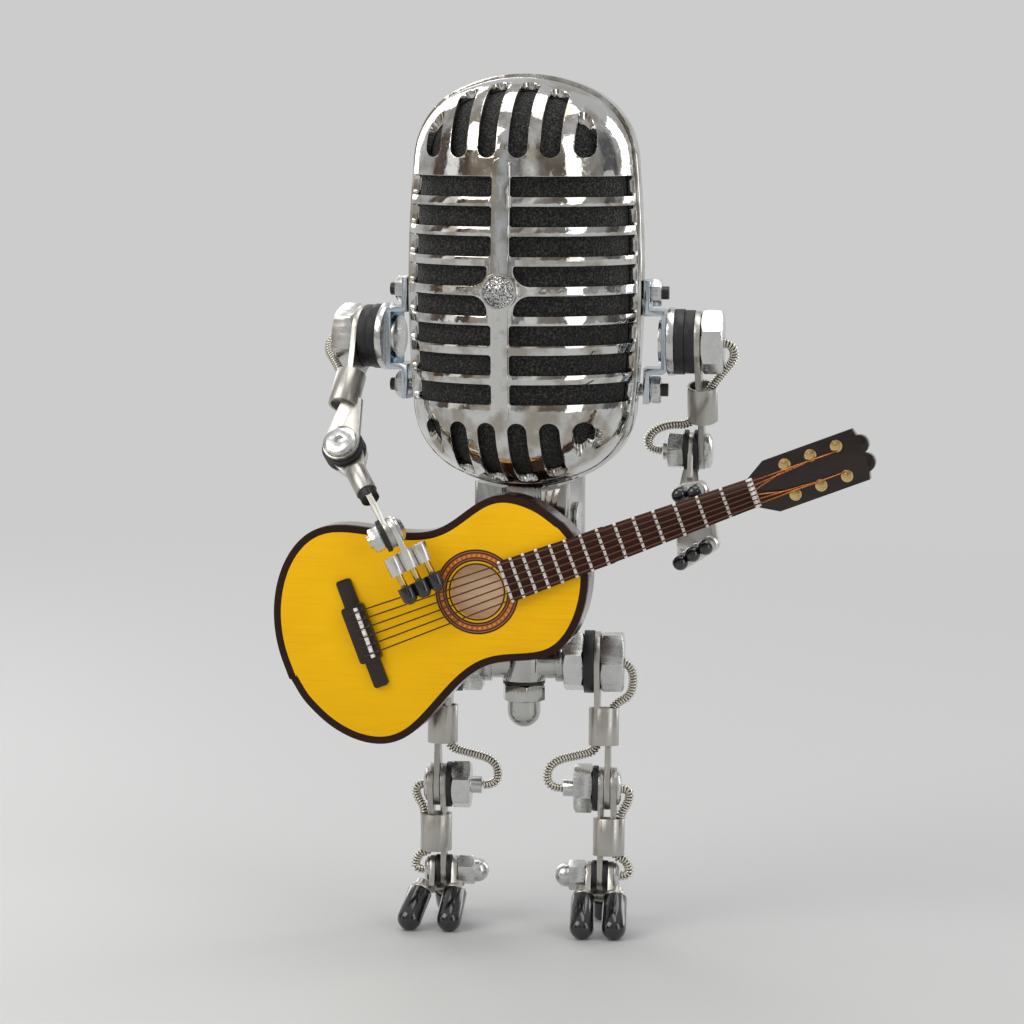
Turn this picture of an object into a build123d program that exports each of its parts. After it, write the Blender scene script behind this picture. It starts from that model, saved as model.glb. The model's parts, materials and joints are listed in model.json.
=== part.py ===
from build123d import *
from math import cos, radians, sin, sqrt, tan
import os

os.makedirs("parts", exist_ok=True)

# A desk lamp in the shape of a robot: a stage-microphone head stands on a pole, on two legs of
# cable lugs, and holds a small guitar. Millimetres, +Z up, the front faces -Y. The pole's axis is
# x = y = 0 and the toes stand on z = 0 while modelling; the finished pieces are shifted together
# so that the origin is the middle of the whole lamp's footprint.

# ---------------------------------------------------------------- driving dimensions
running_gap = 0.08          # radial gap of a joint's bolt in its eye
axial_gap = 0.12            # gap on each side of an eye that turns

# head, a body of revolution about the pole's axis
head_radius = 35.0
head_height = 122.0
head_bottom = 135.0
head_wall = 2.2
dome_radius = 46.0
side_radius = 400.0
corner_radius = 23.0
seam_width = 6.0
seam_proud = 0.8
rib_width = 5.0
rib_proud = 0.9

# grille
grille_drop = 1.4           # the pattern of slots is centred this far below the head's middle
row_count = 8
row_pitch = 8.65
row_height = 6.0
row_inner = 2.7             # from the middle plane to the slot's inner end
row_outer = 3.8             # from the side plane to the slot's outer end
row_inner_round = 1.0
hub_inner = 3.9             # the same for the rows beside the badge
hub_round = 5.0             # their corners near the badge
row_outer_round = 1.6
upright_width = 5.6
upright_columns = (4.6, 13.7, 22.8)
upright_foot = 38.6         # from the pattern's centre to the near end of an upright slot
upright_reach = (12.5, 13.5, 17.5)   # how near to the side plane each column runs
badge_radius = 4.6
badge_thickness = 0.8
boss_radius = 5.4
boss_proud = 1.7
liner_gap = 0.3
liner_wall = 1.4

# lamp inside the head
socket_radius = 9.0
socket_height = 20.0
bulb_radius = 8.0
bulb_height = 46.0

# swivel under the head
swivel_height = 124.0
swivel_back = 7.5
swivel_width = 29.0
swivel_depth = 26.0
swivel_bottom = 100.0
saddle_gap = 1.6            # between the head and the block that it tilts on
tongue_radius = 8.7
tongue_width = 11.4
tongue_gap = 0.3
swivel_screw_radius = 3.0
swivel_head_radius = 5.0
swivel_head_height = 0.9
swivel_grip = 4.6
guitar_mount_height = 111.4

# pole and hip tee
pole_radius = 6.0
pole_spigot = 3.9
pole_spigot_height = 8.0
pole_bore = 2.6
stud_radius = 3.9
hip_height = 81.0
tee_length = 24.2
tee_radius = 5.3
tee_rim_radius = 6.3
tee_rim_width = 2.4
tee_stub_radius = 6.6
tee_stub_up = 8.0
tee_stub_down = 5.8
hip_turn = 9.0              # the legs face a little to the robot's left
acorn_flats = 12.0
acorn_hex_height = 5.2
acorn_dome_radius = 5.0
acorn_height = 13.4
gland_radius = 4.0
gland_height = 7.0

# large joints: shoulders and hips
large_flats = 17.0
large_head = 6.6
large_shank = 4.95
large_eye = 9.2
hip_shank = 3.95
rubber_radius = 9.8
rubber_thickness = 3.0
steel_disc_radius = 10.2
steel_disc_thickness = 2.0

# shoulders
shoulder_height = 178.4
shoulder_turn = 6.0         # the shoulder bolts point a little backwards
bracket_sheet = 1.8
bracket_width = 12.0
bracket_flange = 35.9
bracket_web = 43.0
bracket_leg = 9.6
bracket_tip = 18.4
stud_spacing = 14.5
bracket_stud_radius = 2.0
bracket_stud_end = 43.0
bracket_nut_flats = 7.0
bracket_nut_height = 3.2

# lugs
lug_thickness = 1.7
barrel_radius = 4.6
barrel_mouth = 3.85
mouth_depth = 2.0
sheath_radius = 1.2

# arms
upper_arm_length = {1: 36.0, -1: 39.0}
barrel_start = 14.3
barrel_length = 11.2
barrel_out = 0.9            # how far the barrel lies outside the shoulder eye
elbow_out = {1: 0.5, -1: -1.7}       # and the elbow eye
elbow_eye = 5.6
elbow_shank = 2.95
elbow_flats = 10.0
elbow_nut = 5.0
elbow_rubber = 6.4
elbow_rubber_thickness = 1.3
arm_back_lean = 20.0        # the robot's left arm leans back
arm_front_lean = 37.0       # its right arm leans forward, over the guitar

# legs
thigh_length = 38.4
thigh_start = 13.9
thigh_barrel = 11.4
shin_length = 26.4
shin_start = 9.0
shin_barrel = 11.2
knee_eye = 6.4
knee_shank = 3.45
knee_flats = 13.0
knee_nut = 5.8
knee_rubber = 6.9
ankle_eye = 4.3
ankle_shank = 2.45
ankle_flats = 8.0
ankle_nut = 5.2
ankle_ball = 3.6
hip_reach = {1: 22.4, -1: 22.7}      # from the pole to the hip eye, left and right of the robot
leg_lean = {1: 6.0, -1: 0.5}
spring_reach = {1: 4.4, -1: 3.3}     # how far the spring at each hip stands out

# feet
toe_radius = 3.7
toe_flat = 0.2
toe_angle = 44.3
toe_rod = 2.3
toe_spread = 4.8
toe_start = 7.0
heel_start = 9.2
toe_yaw = {1: 0.0, -1: 15.5}         # how far each foot's toes point outwards
toe_splay = {1: 0.0, -1: 5.5}        # and away from each other
foot_sheet = 1.6

# guitar, laid out from the middle of its sound hole: u along the neck, v across
guitar_face = -24.6
guitar_depth = 9.6
guitar_centre = (-8.9, 104.9)
guitar_tilt = 21.2
soundboard_thickness = 1.5
binding_width = 2.2
sound_hole = 8.1
recess_radius = 11.6        # the hollow under the sound hole
recess_depth = 3.5
tail_u = -64.4
lower_bout = (-39.0, 34.0)
waist = (-4.0, 21.6)
upper_bout = (14.5, 25.0)
heel_u = 33.5
outline_steps = 24
board_start = 10.2
board_end = 88.0
board_half_start = 6.3
board_half_end = 4.3
board_thickness = 1.8
neck_depth = 5.6
headstock_end = 125.0
headstock_half = 7.8
headstock_shoulder = 6.0
headstock_thickness = 3.4
crest_depth = 3.2
crest_notch = 2.1
fret_scale = 141.0
fret_count = 14
fret_radius = 0.45
guitar_screw_radius = 1.5
guitar_screw_grip = 3.2
standoff_radius = 4.0
bridge_u = -37.5
bridge_width = 4.6
bridge_half = 17.0
bridge_wing_height = 1.4
bridge_middle_width = 7.0
bridge_middle_half = 8.8
bridge_height = 2.4
saddle_half = 7.6
string_radius = 0.22
string_count = 6
string_span_bridge = 13.4
string_span_nut = 6.8
peg_radius = 1.1
peg_bush_radius = 1.8
peg_first = 100.0           # along the neck
peg_pitch = 8.0
peg_across = 4.6

# ---------------------------------------------------------------- values worked out
head_top = head_bottom + head_height
head_middle = head_bottom + head_height / 2
grille_middle = head_middle - grille_drop
up = Vector(0, 0, 1)
across_corners = 2 / sqrt(3)


def side_axis(side, turn):
    """Outward direction of a joint axis on one side of the robot (side is 1 at +X, -1 at -X)."""
    return Vector(side * cos(radians(turn)), sin(radians(turn)), 0)


def side_back(side, turn):
    """Level direction towards the back, square to side_axis."""
    return Vector(-side * sin(radians(turn)), cos(radians(turn)), 0)


def leg_axis(side):
    """The legs share one cross direction, turned about the pole."""
    return Vector(side * cos(radians(hip_turn)), side * sin(radians(hip_turn)), 0)


leg_back = Vector(-sin(radians(hip_turn)), cos(radians(hip_turn)), 0)


# ---------------------------------------------------------------- helpers
def turned(plane, outline):
    """A turned piece from (radius, height) corners about the plane's normal."""
    section = Plane(origin=plane.origin, x_dir=plane.x_dir, z_dir=-plane.y_dir)
    with BuildPart() as item:
        with BuildSketch(section):
            with BuildLine():
                Polyline(*outline, close=True)
            make_face()
        revolve(axis=Axis(plane.origin, plane.z_dir))
    return item.part


def ring(plane, start, end, radius, bore=0.0):
    """A disc or washer between two heights above the plane."""
    outline = [(bore, start), (radius, start), (radius, end), (bore, end)]
    return turned(plane, outline)


def hexagon(plane, start, end, flats, bore=0.0, turn=0.0):
    """A hex nut or bolt head with its corners turned off at both ends."""
    corner = flats / 2 * across_corners
    bevel = 0.6 * (corner - flats / 2)
    inner = flats / 2 * 0.97
    outline = [(bore, start), (inner, start), (corner, start + bevel), (corner, end - bevel),
               (inner, end), (bore, end)]
    blank = turned(plane, outline)
    with BuildPart() as item:
        with BuildSketch(plane.offset(start)):
            RegularPolygon(flats / 2, 6, major_radius=False, rotation=turn)
        extrude(amount=end - start)
        add(blank, mode=Mode.INTERSECT)
    return item.part


def capsule(plane, start, end, radius):
    """A round bar with a ball end; end is the centre of the ball."""
    section = Plane(origin=plane.origin, x_dir=plane.x_dir, z_dir=-plane.y_dir)
    slope = radius * cos(radians(45))
    with BuildPart() as item:
        with BuildSketch(section):
            with BuildLine():
                Polyline((0, end + radius), (0, start), (radius, start), (radius, end))
                ThreePointArc((radius, end), (slope, end + slope), (0, end + radius))
            make_face()
        revolve(axis=Axis(plane.origin, plane.z_dir))
    return item.part


def eye_plate(plane, eye, reach, root_width, thickness, bore):
    """A flat lug tongue: a round eye at the plane's origin, tapering to its root along +x."""
    with BuildPart() as item:
        with BuildSketch(plane):
            Circle(eye)
            with Locations((reach - root_width / 4, 0)):
                Rectangle(root_width / 2, root_width)
            make_hull()
            Circle(bore, mode=Mode.SUBTRACT)
        extrude(amount=thickness / 2, both=True)
    return item.part


def barrel(plane, length, radius=barrel_radius, mouth=barrel_mouth):
    """A crimp barrel, open for a short way at both ends."""
    outline = [(0, mouth_depth), (mouth, mouth_depth), (mouth, 0), (radius, 0), (radius, length),
               (mouth, length), (mouth, length - mouth_depth), (0, length - mouth_depth)]
    return turned(plane, outline)


def bends(points):
    """Bend radii for a route, each as large as the two runs beside it allow."""
    radii = []
    for before, corner, after in zip(points, points[1:], points[2:]):
        arrive, leave = corner - before, after - corner
        half_turn = radians(arrive.get_angle(leave)) / 2
        radii.append(0.45 * min(arrive.length, leave.length) / tan(half_turn))
    return radii


def sheath(points, radius=sheath_radius):
    """A spring-wound cable sheath along straight runs joined by tangent bends."""
    with BuildPart() as item:
        with BuildLine() as route:
            FilletPolyline(*points, radius=bends(points))
        with BuildSketch(Plane(origin=route.line @ 0, z_dir=route.line % 0)):
            Circle(radius)
        sweep(path=route.line)
    return item.part


def fused(*pieces):
    """Pieces that are one piece of metal."""
    with BuildPart() as item:
        for piece in pieces:
            add(piece)
    return item.part


def group(pieces):
    """Separate pieces that share one name."""
    return Compound(children=[piece for piece in pieces])


# ---------------------------------------------------------------- head
def head_solid(grow):
    """The head's body of revolution, with every surface moved outwards by grow."""
    with BuildPart() as solid:
        with BuildSketch(Plane.XZ) as section:
            with Locations((0, head_middle)):
                SlotOverall(head_height + 2 * grow, 2 * (dome_radius + grow), rotation=90)
            with Locations((head_radius - side_radius, head_middle)):
                Circle(side_radius + grow, mode=Mode.INTERSECT)
            with Locations((head_radius, head_middle)):
                Rectangle(2 * head_radius, 2 * head_height, mode=Mode.INTERSECT)
            shoulders = [corner for corner in section.vertices()
                         if corner.X > head_radius / 2 and abs(corner.Y - head_middle) > corner_radius]
            fillet(shoulders, corner_radius + grow)
        revolve(axis=Axis.Z)
    return solid.part


def level_slot(side, height, beside_badge):
    """The tool that cuts one level slot; beside the badge a wide corner makes room for the boss."""
    inner = hub_inner if beside_badge else row_inner
    middle = side * (inner + head_radius)
    depth = 2 * head_radius - row_outer
    towards_badge = row_height / 2 if height < grille_middle else -row_height / 2
    near, far = height + towards_badge, height - towards_badge
    with BuildPart() as tool:
        with BuildSketch(Plane.XZ.offset(2 * head_radius)) as front:
            with Locations((middle, height)):
                Rectangle(2 * head_radius, row_height)
            near_corner = front.vertices().sort_by_distance((side * inner, near))[0]
            fillet(near_corner, hub_round if beside_badge else row_inner_round)
            far_corner = front.vertices().sort_by_distance((side * inner, far))[0]
            fillet(far_corner, 0.9 * row_inner_round)
        extrude(amount=-2 * head_radius)
        with BuildSketch(Plane.YZ) as flank:
            with Locations((-row_outer - depth / 2, height)):
                Rectangle(depth, row_height)
            fillet(flank.vertices().group_by(Axis.X)[-1], row_outer_round)
        extrude(amount=2 * head_radius, both=True, mode=Mode.INTERSECT)
    return tool.part


def upright_slot(column, reach, end):
    """The tool that cuts one upright slot over the top (end 1) or the bottom (end -1)."""
    tall = head_radius
    with BuildPart() as tool:
        with BuildSketch(Plane.XZ.offset(2 * head_radius)):
            with Locations((column, grille_middle + end * (upright_foot + tall / 2))):
                SlotOverall(tall, upright_width, rotation=90)
        extrude(amount=-2 * head_radius)
        with BuildSketch(Plane.XY):
            with Locations((column, -reach - tall / 2)):
                SlotOverall(tall, upright_width, rotation=90)
        extrude(amount=3 * head_height, mode=Mode.INTERSECT)
    return tool.part


def slot_tools():
    rows = [grille_middle + row_pitch * (row - (row_count - 1) / 2) for row in range(row_count)]
    with BuildPart() as tools:
        for height in rows:
            for side in (1, -1):
                add(level_slot(side, height, abs(height - grille_middle) < row_pitch))
        for column, reach in zip(upright_columns, upright_reach):
            for side in (1, -1):
                for end in (1, -1):
                    add(upright_slot(side * column, reach, end))
    return tools.part


def stud_plane(side, height):
    """A plane at the pole's axis whose normal points out along one bracket stud."""
    axis = side_axis(side, shoulder_turn)
    return Plane(origin=Vector(0, 0, height), x_dir=up, z_dir=axis)


def stud_holes():
    """Clearance holes for the four bracket studs."""
    with BuildPart() as holes:
        for side in (1, -1):
            for height in (shoulder_height + stud_spacing, shoulder_height - stud_spacing):
                add(ring(stud_plane(side, height), head_radius / 2, 2 * head_radius, bracket_stud_radius))
    return holes.part


def half_case(with_badge):
    """The front half of the case, with its rib, slots and badge boss."""
    with BuildPart() as case:
        add(outer_head)
        add(rib_solid())
        if with_badge:
            add(ring(badge_plane, -3.0, boss_proud, boss_radius))
        add(grille_tools, mode=Mode.SUBTRACT)
        add(inner_head, mode=Mode.SUBTRACT)
        if with_badge:
            add(ring(badge_plane, boss_proud - badge_thickness, 2 * boss_proud, badge_radius),
                mode=Mode.SUBTRACT)
        split(bisect_by=Plane.XZ.offset(seam_width / 2), keep=Keep.TOP)
    return case.part


def rib_solid():
    """The raised rib down the middle of the front, rounded along its crest."""
    with BuildPart() as rib:
        add(head_solid(rib_proud))
        with BuildSketch(Plane.XZ.offset(2 * head_radius)) as face:
            with Locations((0, grille_middle)):
                SlotOverall(2 * upright_foot, rib_width, rotation=90)
        extrude(amount=-2 * head_radius, mode=Mode.INTERSECT)
    return rib.part


outer_head = head_solid(0)
inner_head = head_solid(-head_wall)
grille_tools = slot_tools()
badge_plane = Plane(origin=(0, -head_radius, grille_middle), x_dir=(1, 0, 0), z_dir=(0, -1, 0))

front_grille = half_case(True)

with BuildPart() as rear_grille:
    add(mirror(half_case(False), about=Plane.XZ))
    add(stud_holes(), mode=Mode.SUBTRACT)

with BuildPart() as seam_band:
    add(head_solid(seam_proud))
    split(bisect_by=Plane.XZ.offset(seam_width / 2 - axial_gap / 4), keep=Keep.BOTTOM)
    split(bisect_by=Plane.XZ.offset(-seam_width / 2 + axial_gap / 4), keep=Keep.TOP)
    add(inner_head, mode=Mode.SUBTRACT)
    add(stud_holes(), mode=Mode.SUBTRACT)

with BuildPart() as foam_liner:
    add(head_solid(-head_wall - liner_gap))
    add(head_solid(-head_wall - liner_gap - liner_wall), mode=Mode.SUBTRACT)

badge_plate = ring(badge_plane, boss_proud - badge_thickness, boss_proud - 0.1, badge_radius - 0.05)

socket_plane = Plane(origin=(0, 0, head_bottom + head_wall + liner_gap + liner_wall))
lamp_socket = turned(socket_plane, [
    (0, 0.31), (5.0, 0.31), (socket_radius, 2.4), (socket_radius, socket_height - 4),
    (socket_radius + 1.5, socket_height - 3), (socket_radius + 1.5, socket_height),
    (socket_radius / 2, socket_height), (socket_radius / 2, socket_height - 8),
    (0, socket_height - 8)])
led_bulb = fused(
    ring(socket_plane, socket_height - 8, socket_height + 2, socket_radius / 2 - 0.1),
    capsule(socket_plane, socket_height + 2, socket_height + bulb_height - bulb_radius, bulb_radius))

# ---------------------------------------------------------------- swivel
swivel_centre = Vector(0, swivel_back, swivel_height)
swivel_axis_plane = Plane(origin=swivel_centre, x_dir=(0, 1, 0), z_dir=(1, 0, 0))
swivel_front = swivel_back - swivel_depth / 2
guitar_mount = Plane(origin=(0, swivel_front, guitar_mount_height), x_dir=(1, 0, 0), z_dir=(0, 1, 0))

notch_floor = swivel_height - tongue_radius - tongue_gap

with BuildPart() as swivel_base:
    with BuildSketch(Plane((0, swivel_back, swivel_bottom))) as block:
        Rectangle(swivel_width, swivel_depth)
        fillet(block.vertices(), 1.2)
    extrude(amount=head_bottom + head_wall + saddle_gap - swivel_bottom)
    add(head_solid(saddle_gap), mode=Mode.SUBTRACT)
    with BuildSketch(Plane((0, swivel_back, notch_floor))):
        Rectangle(tongue_width + 2 * tongue_gap, 2 * swivel_depth)
    extrude(amount=3 * tongue_radius, mode=Mode.SUBTRACT)
    add(ring(swivel_axis_plane, -swivel_width / 2 + 2, swivel_width, swivel_screw_radius + 0.05),
        mode=Mode.SUBTRACT)
    add(ring(Plane((0, 0, swivel_bottom)), -1, pole_spigot_height + 0.2, pole_spigot + 0.05),
        mode=Mode.SUBTRACT)
    add(ring(guitar_mount, -1, swivel_grip, guitar_screw_radius + 0.05), mode=Mode.SUBTRACT)

tongue_plane = Plane(origin=swivel_centre, x_dir=(0, 0, 1), z_dir=(1, 0, 0))
with BuildPart() as swivel_tongue:
    with BuildSketch(tongue_plane):
        Circle(tongue_radius)
        with Locations((tongue_radius, 0)):
            Rectangle(2 * tongue_radius, 2 * tongue_radius)
    extrude(amount=tongue_width / 2, both=True)
    add(outer_head, mode=Mode.SUBTRACT)
    add(seam_band, mode=Mode.SUBTRACT)
    add(ring(swivel_axis_plane, -tongue_width, tongue_width, swivel_screw_radius + running_gap),
        mode=Mode.SUBTRACT)

swivel_screw = fused(
    ring(swivel_axis_plane, -swivel_width / 2 + 2.1, swivel_width / 2 + 0.5, swivel_screw_radius),
    ring(swivel_axis_plane, swivel_width / 2 + 0.05, swivel_width / 2 + swivel_head_height,
         swivel_head_radius))

# ---------------------------------------------------------------- shoulders, on the head
def shoulder_plane(side):
    """A plane at the pole's axis, its normal out along the shoulder bolt."""
    return Plane(origin=(0, 0, shoulder_height), x_dir=up, z_dir=side_axis(side, shoulder_turn))


def bracket(side):
    """A hat-section bracket of bent strip, with its bolt hole and two stud holes."""
    axis = side_axis(side, shoulder_turn)
    profile = Plane(origin=(0, 0, shoulder_height), x_dir=axis, z_dir=axis.cross(up))
    inner, outer = bracket_flange, bracket_flange + bracket_sheet
    leg, web = bracket_leg, bracket_web
    sheet = bracket_sheet
    corners = [(inner, bracket_tip), (outer, bracket_tip), (outer, leg), (web, leg), (web, -leg),
               (outer, -leg), (outer, -bracket_tip), (inner, -bracket_tip), (inner, sheet - leg),
               (web - sheet, sheet - leg), (web - sheet, leg - sheet), (inner, leg - sheet)]
    with BuildPart() as item:
        with BuildSketch(profile) as strip:
            with BuildLine():
                Polyline(*corners, close=True)
            make_face()
            fillet(strip.vertices().group_by(Axis.X)[-1], sheet)
        extrude(amount=bracket_width / 2, both=True)
        add(ring(shoulder_plane(side), 0, 2 * web, large_shank + 0.05), mode=Mode.SUBTRACT)
        add(stud_holes(), mode=Mode.SUBTRACT)
    return item.part


def bracket_screw(side, height):
    """A stud out of the case wall, with its hex nut."""
    plane = stud_plane(side, height)
    start = head_radius - head_wall
    seat = bracket_flange + bracket_sheet
    stud = ring(plane, start, bracket_stud_end, bracket_stud_radius - 0.05)
    nut = hexagon(plane, seat, seat + bracket_nut_height, bracket_nut_flats)
    return fused(stud, nut)


disc_end = bracket_web + steel_disc_thickness
shoulder_rubber_end = disc_end + 2 * rubber_thickness
shoulder_eye = shoulder_rubber_end + axial_gap + lug_thickness / 2
shoulder_head = shoulder_eye + lug_thickness / 2 + axial_gap
shoulder_tip = shoulder_head + large_head


def shoulder_bolt(side):
    """The shoulder's hex bolt with its spacer disc; its end is drilled for the cable sheath."""
    plane = shoulder_plane(side)
    with BuildPart() as item:
        add(ring(plane, bracket_web - bracket_sheet - 1.0, shoulder_head + 0.5, large_shank))
        add(ring(plane, bracket_web - bracket_sheet - 1.0, bracket_web - bracket_sheet, 6.4))
        add(ring(plane, bracket_web, disc_end, steel_disc_radius))
        add(hexagon(plane, shoulder_head, shoulder_tip, large_flats, turn=8))
        add(ring(plane, shoulder_tip - 2.4, shoulder_tip + 1, sheath_radius + 0.5), mode=Mode.SUBTRACT)
    return item.part


shoulder_brackets = group(bracket(side) for side in (1, -1))
bracket_screws = group(bracket_screw(side, shoulder_height + end * stud_spacing)
                       for side in (1, -1) for end in (1, -1))
shoulder_bolts = group(shoulder_bolt(side) for side in (1, -1))
shoulder_washers = group(
    ring(shoulder_plane(side), disc_end + step * rubber_thickness + 0.02,
         disc_end + (step + 1) * rubber_thickness - 0.02, rubber_radius - 0.3 * step, large_shank + 0.02)
    for side in (1, -1) for step in (0, 1))

# ---------------------------------------------------------------- upper arms
def arm_frame(side):
    """Shoulder point, axis, direction down the upper arm, and elbow point."""
    axis = side_axis(side, shoulder_turn)
    back = side_back(side, shoulder_turn)
    lean = arm_back_lean if side > 0 else -arm_front_lean
    down = back * sin(radians(lean)) - up * cos(radians(lean))
    shoulder = axis * shoulder_eye + up * shoulder_height
    return shoulder, axis, down, shoulder + down * upper_arm_length[side]


def upper_arm(side, elbow_plane):
    """Two cable lugs back to back: the shoulder eye, the barrel and the elbow eye."""
    shoulder, axis, down, elbow = arm_frame(side)
    top = Plane(origin=shoulder, x_dir=down, z_dir=axis)
    tube = Plane(origin=shoulder + axis * barrel_out + down * barrel_start, x_dir=axis, z_dir=down)
    lower_reach = upper_arm_length[side] - barrel_start - barrel_length + mouth_depth + 0.5
    return fused(
        eye_plate(top, large_eye, barrel_start + mouth_depth + 0.5, 6.4, lug_thickness,
                  large_shank + running_gap),
        barrel(tube, barrel_length),
        eye_plate(elbow_plane, elbow_eye, lower_reach, 6.0, lug_thickness, elbow_shank + running_gap))


def joint_plane(origin, axis, along):
    return Plane(origin=origin, x_dir=along, z_dir=axis)


# robot's left arm (+X): the elbow turns about the same direction as the shoulder
left_shoulder, left_axis, left_down, left_elbow_line = arm_frame(1)
left_elbow = left_elbow_line + left_axis * elbow_out[1]
left_elbow_plane = joint_plane(left_elbow, left_axis, -left_down)
upper_arm_left = upper_arm(1, left_elbow_plane)

# robot's right arm (-X): the elbow turns about a direction square to the arm, facing the front
right_shoulder, right_axis, right_down, right_elbow_line = arm_frame(-1)
right_elbow = right_elbow_line + right_axis * elbow_out[-1]
right_elbow_axis = right_axis.cross(right_down)
if right_elbow_axis.Y > 0:
    right_elbow_axis = -right_elbow_axis
right_elbow_plane = joint_plane(right_elbow, right_elbow_axis, -right_down)
upper_arm_right = upper_arm(-1, right_elbow_plane)

# the elbow stack, counted from the middle of the upper arm's eye along -axis (towards the nut)
half_lug = lug_thickness / 2
first_rubber = half_lug + axial_gap
forearm_eye = first_rubber + elbow_rubber_thickness + half_lug
second_rubber = forearm_eye + half_lug
elbow_nut_start = second_rubber + elbow_rubber_thickness
elbow_tip = elbow_nut_start + elbow_nut + 1.4


def elbow_bolt(plane, button, crown, socket):
    """Button-head bolt, forearm side: shank through both eyes, nut at the far end."""
    flip = Plane(origin=plane.origin, x_dir=plane.x_dir, z_dir=-plane.z_dir)
    head_start = half_lug + axial_gap
    with BuildPart() as item:
        add(ring(flip, -head_start - 0.3, elbow_tip, elbow_shank))
        add(turned(plane, [(0, head_start), (button, head_start), (button, head_start + 0.6 * crown),
                           (0.75 * button, head_start + crown), (0, head_start + crown)]))
        add(hexagon(flip, elbow_nut_start, elbow_nut_start + elbow_nut, elbow_flats))
        if socket:
            with BuildSketch(plane.offset(head_start + crown + 0.1)):
                RegularPolygon(1.6, 6)
            extrude(amount=-1.3, mode=Mode.SUBTRACT)
    return item.part


def elbow_washers(plane):
    flip = Plane(origin=plane.origin, x_dir=plane.x_dir, z_dir=-plane.z_dir)
    return [ring(flip, first_rubber + 0.01, forearm_eye - half_lug - 0.01, elbow_rubber, elbow_shank + 0.02),
            ring(flip, second_rubber + 0.01, elbow_nut_start - 0.01, elbow_rubber, elbow_shank + 0.02)]


# ---------------------------------------------------------------- robot's left forearm and hand (+X)
left_wrist = Vector(51.5, 3.2, 125.0)
left_fore_eye = left_elbow - left_axis * forearm_eye
left_fore_down = (left_wrist - left_fore_eye)
left_fore_down = (left_fore_down - left_axis * left_fore_down.dot(left_axis)).normalized()
left_fore_length = (left_wrist - left_fore_eye).dot(left_fore_down)
left_wrist_centre = left_fore_eye + left_fore_down * left_fore_length
left_wrist_axis = left_fore_down.cross(left_axis)
if left_wrist_axis.Y > 0:
    left_wrist_axis = -left_wrist_axis

wrist_eye = 4.6
wrist_shank = 1.95
wrist_flats = 7.0
wrist_nut = 3.4
wrist_rubber = 5.0
wrist_rubber_thickness = 1.4

left_wrist_plane = joint_plane(left_wrist_centre, left_wrist_axis, -left_fore_down)
forearm_left = fused(
    eye_plate(joint_plane(left_fore_eye, left_axis, left_fore_down), elbow_eye, 11.0, 5.0,
              lug_thickness, elbow_shank + 0.02),
    eye_plate(left_wrist_plane, wrist_eye, left_fore_length - 7.2, 4.4, lug_thickness,
              wrist_shank + 0.02))


def wrist_bolt(plane, turn=0.0):
    """Small bolt: domed head at the front of the hand's eye, nut behind the forearm's eye."""
    start = half_lug + 0.15 + lug_thickness + axial_gap
    flip = Plane(origin=plane.origin, x_dir=plane.x_dir, z_dir=-plane.z_dir)
    return fused(
        ring(flip, -start - 0.3, half_lug + wrist_rubber_thickness + wrist_nut + 0.8, wrist_shank),
        turned(plane, [(0, start), (3.6, start), (3.6, start + 0.8), (2.4, start + 2.0),
                       (0, start + 2.4)]),
        hexagon(flip, half_lug + wrist_rubber_thickness, half_lug + wrist_rubber_thickness + wrist_nut,
                wrist_flats, turn=turn))


def wrist_washer(plane):
    flip = Plane(origin=plane.origin, x_dir=plane.x_dir, z_dir=-plane.z_dir)
    return ring(flip, half_lug + 0.01, half_lug + wrist_rubber_thickness - 0.01, wrist_rubber,
                wrist_shank + 0.02)


forearm_left_bolts = group([elbow_bolt(left_elbow_plane, 5.3, 2.2, False), wrist_bolt(left_wrist_plane)])
forearm_left_washers = group(elbow_washers(left_elbow_plane) + [wrist_washer(left_wrist_plane)])

finger_barrel = 2.3
finger_pin = 1.05
finger_tip = 2.4


def finger(start, direction, barrel_end, tip_start, tip_end):
    """Barrel and pin of one finger, and its rubber tip, along a direction."""
    plane = Plane(origin=start, z_dir=direction)
    metal = fused(ring(plane, 0, barrel_end, finger_barrel), ring(plane, 0, tip_start + 1.5, finger_pin))
    tip = capsule(plane, tip_start, tip_end, finger_tip)
    with BuildPart() as cap:
        add(tip)
        add(ring(plane, -1, tip_start + 1.55, finger_pin + 0.02), mode=Mode.SUBTRACT)
    return metal, cap.part


# the palm is a strip behind the guitar's neck, carried by the wrist eye
palm_y = -4.1
palm_thickness = 1.8
left_finger_ends = [(49.9, 134.4), (54.4, 135.2), (50.4, 114.4), (54.0, 117.0), (57.8, 119.2)]
palm_plane = Plane(origin=(0, palm_y, 0), x_dir=(1, 0, 0), z_dir=(0, -1, 0))
hand_eye_offset = half_lug + 0.15 + half_lug
hand_eye_plane = joint_plane(left_wrist_centre + left_wrist_axis * hand_eye_offset, left_wrist_axis,
                             left_fore_down)

left_metal, left_tips = [], []
for spot_x, spot_z in left_finger_ends:
    metal, tip = finger(Vector(spot_x, palm_y, spot_z), Vector(0, -1, 0), 4.6, 5.4, 10.2)
    left_metal.append(metal)
    left_tips.append(tip)

with BuildPart() as palm_strip:
    with BuildSketch(palm_plane):
        with Locations(*[(x, z) for x, z in left_finger_ends]):
            Circle(finger_barrel + 0.3)
        make_hull()
    extrude(amount=palm_thickness / 2, both=True)

hand_left = fused(
    eye_plate(hand_eye_plane, wrist_eye, 10.2, 5.0, lug_thickness, wrist_shank + running_gap),
    palm_strip.part, *left_metal)
fingertips_left = group(left_tips)

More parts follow.
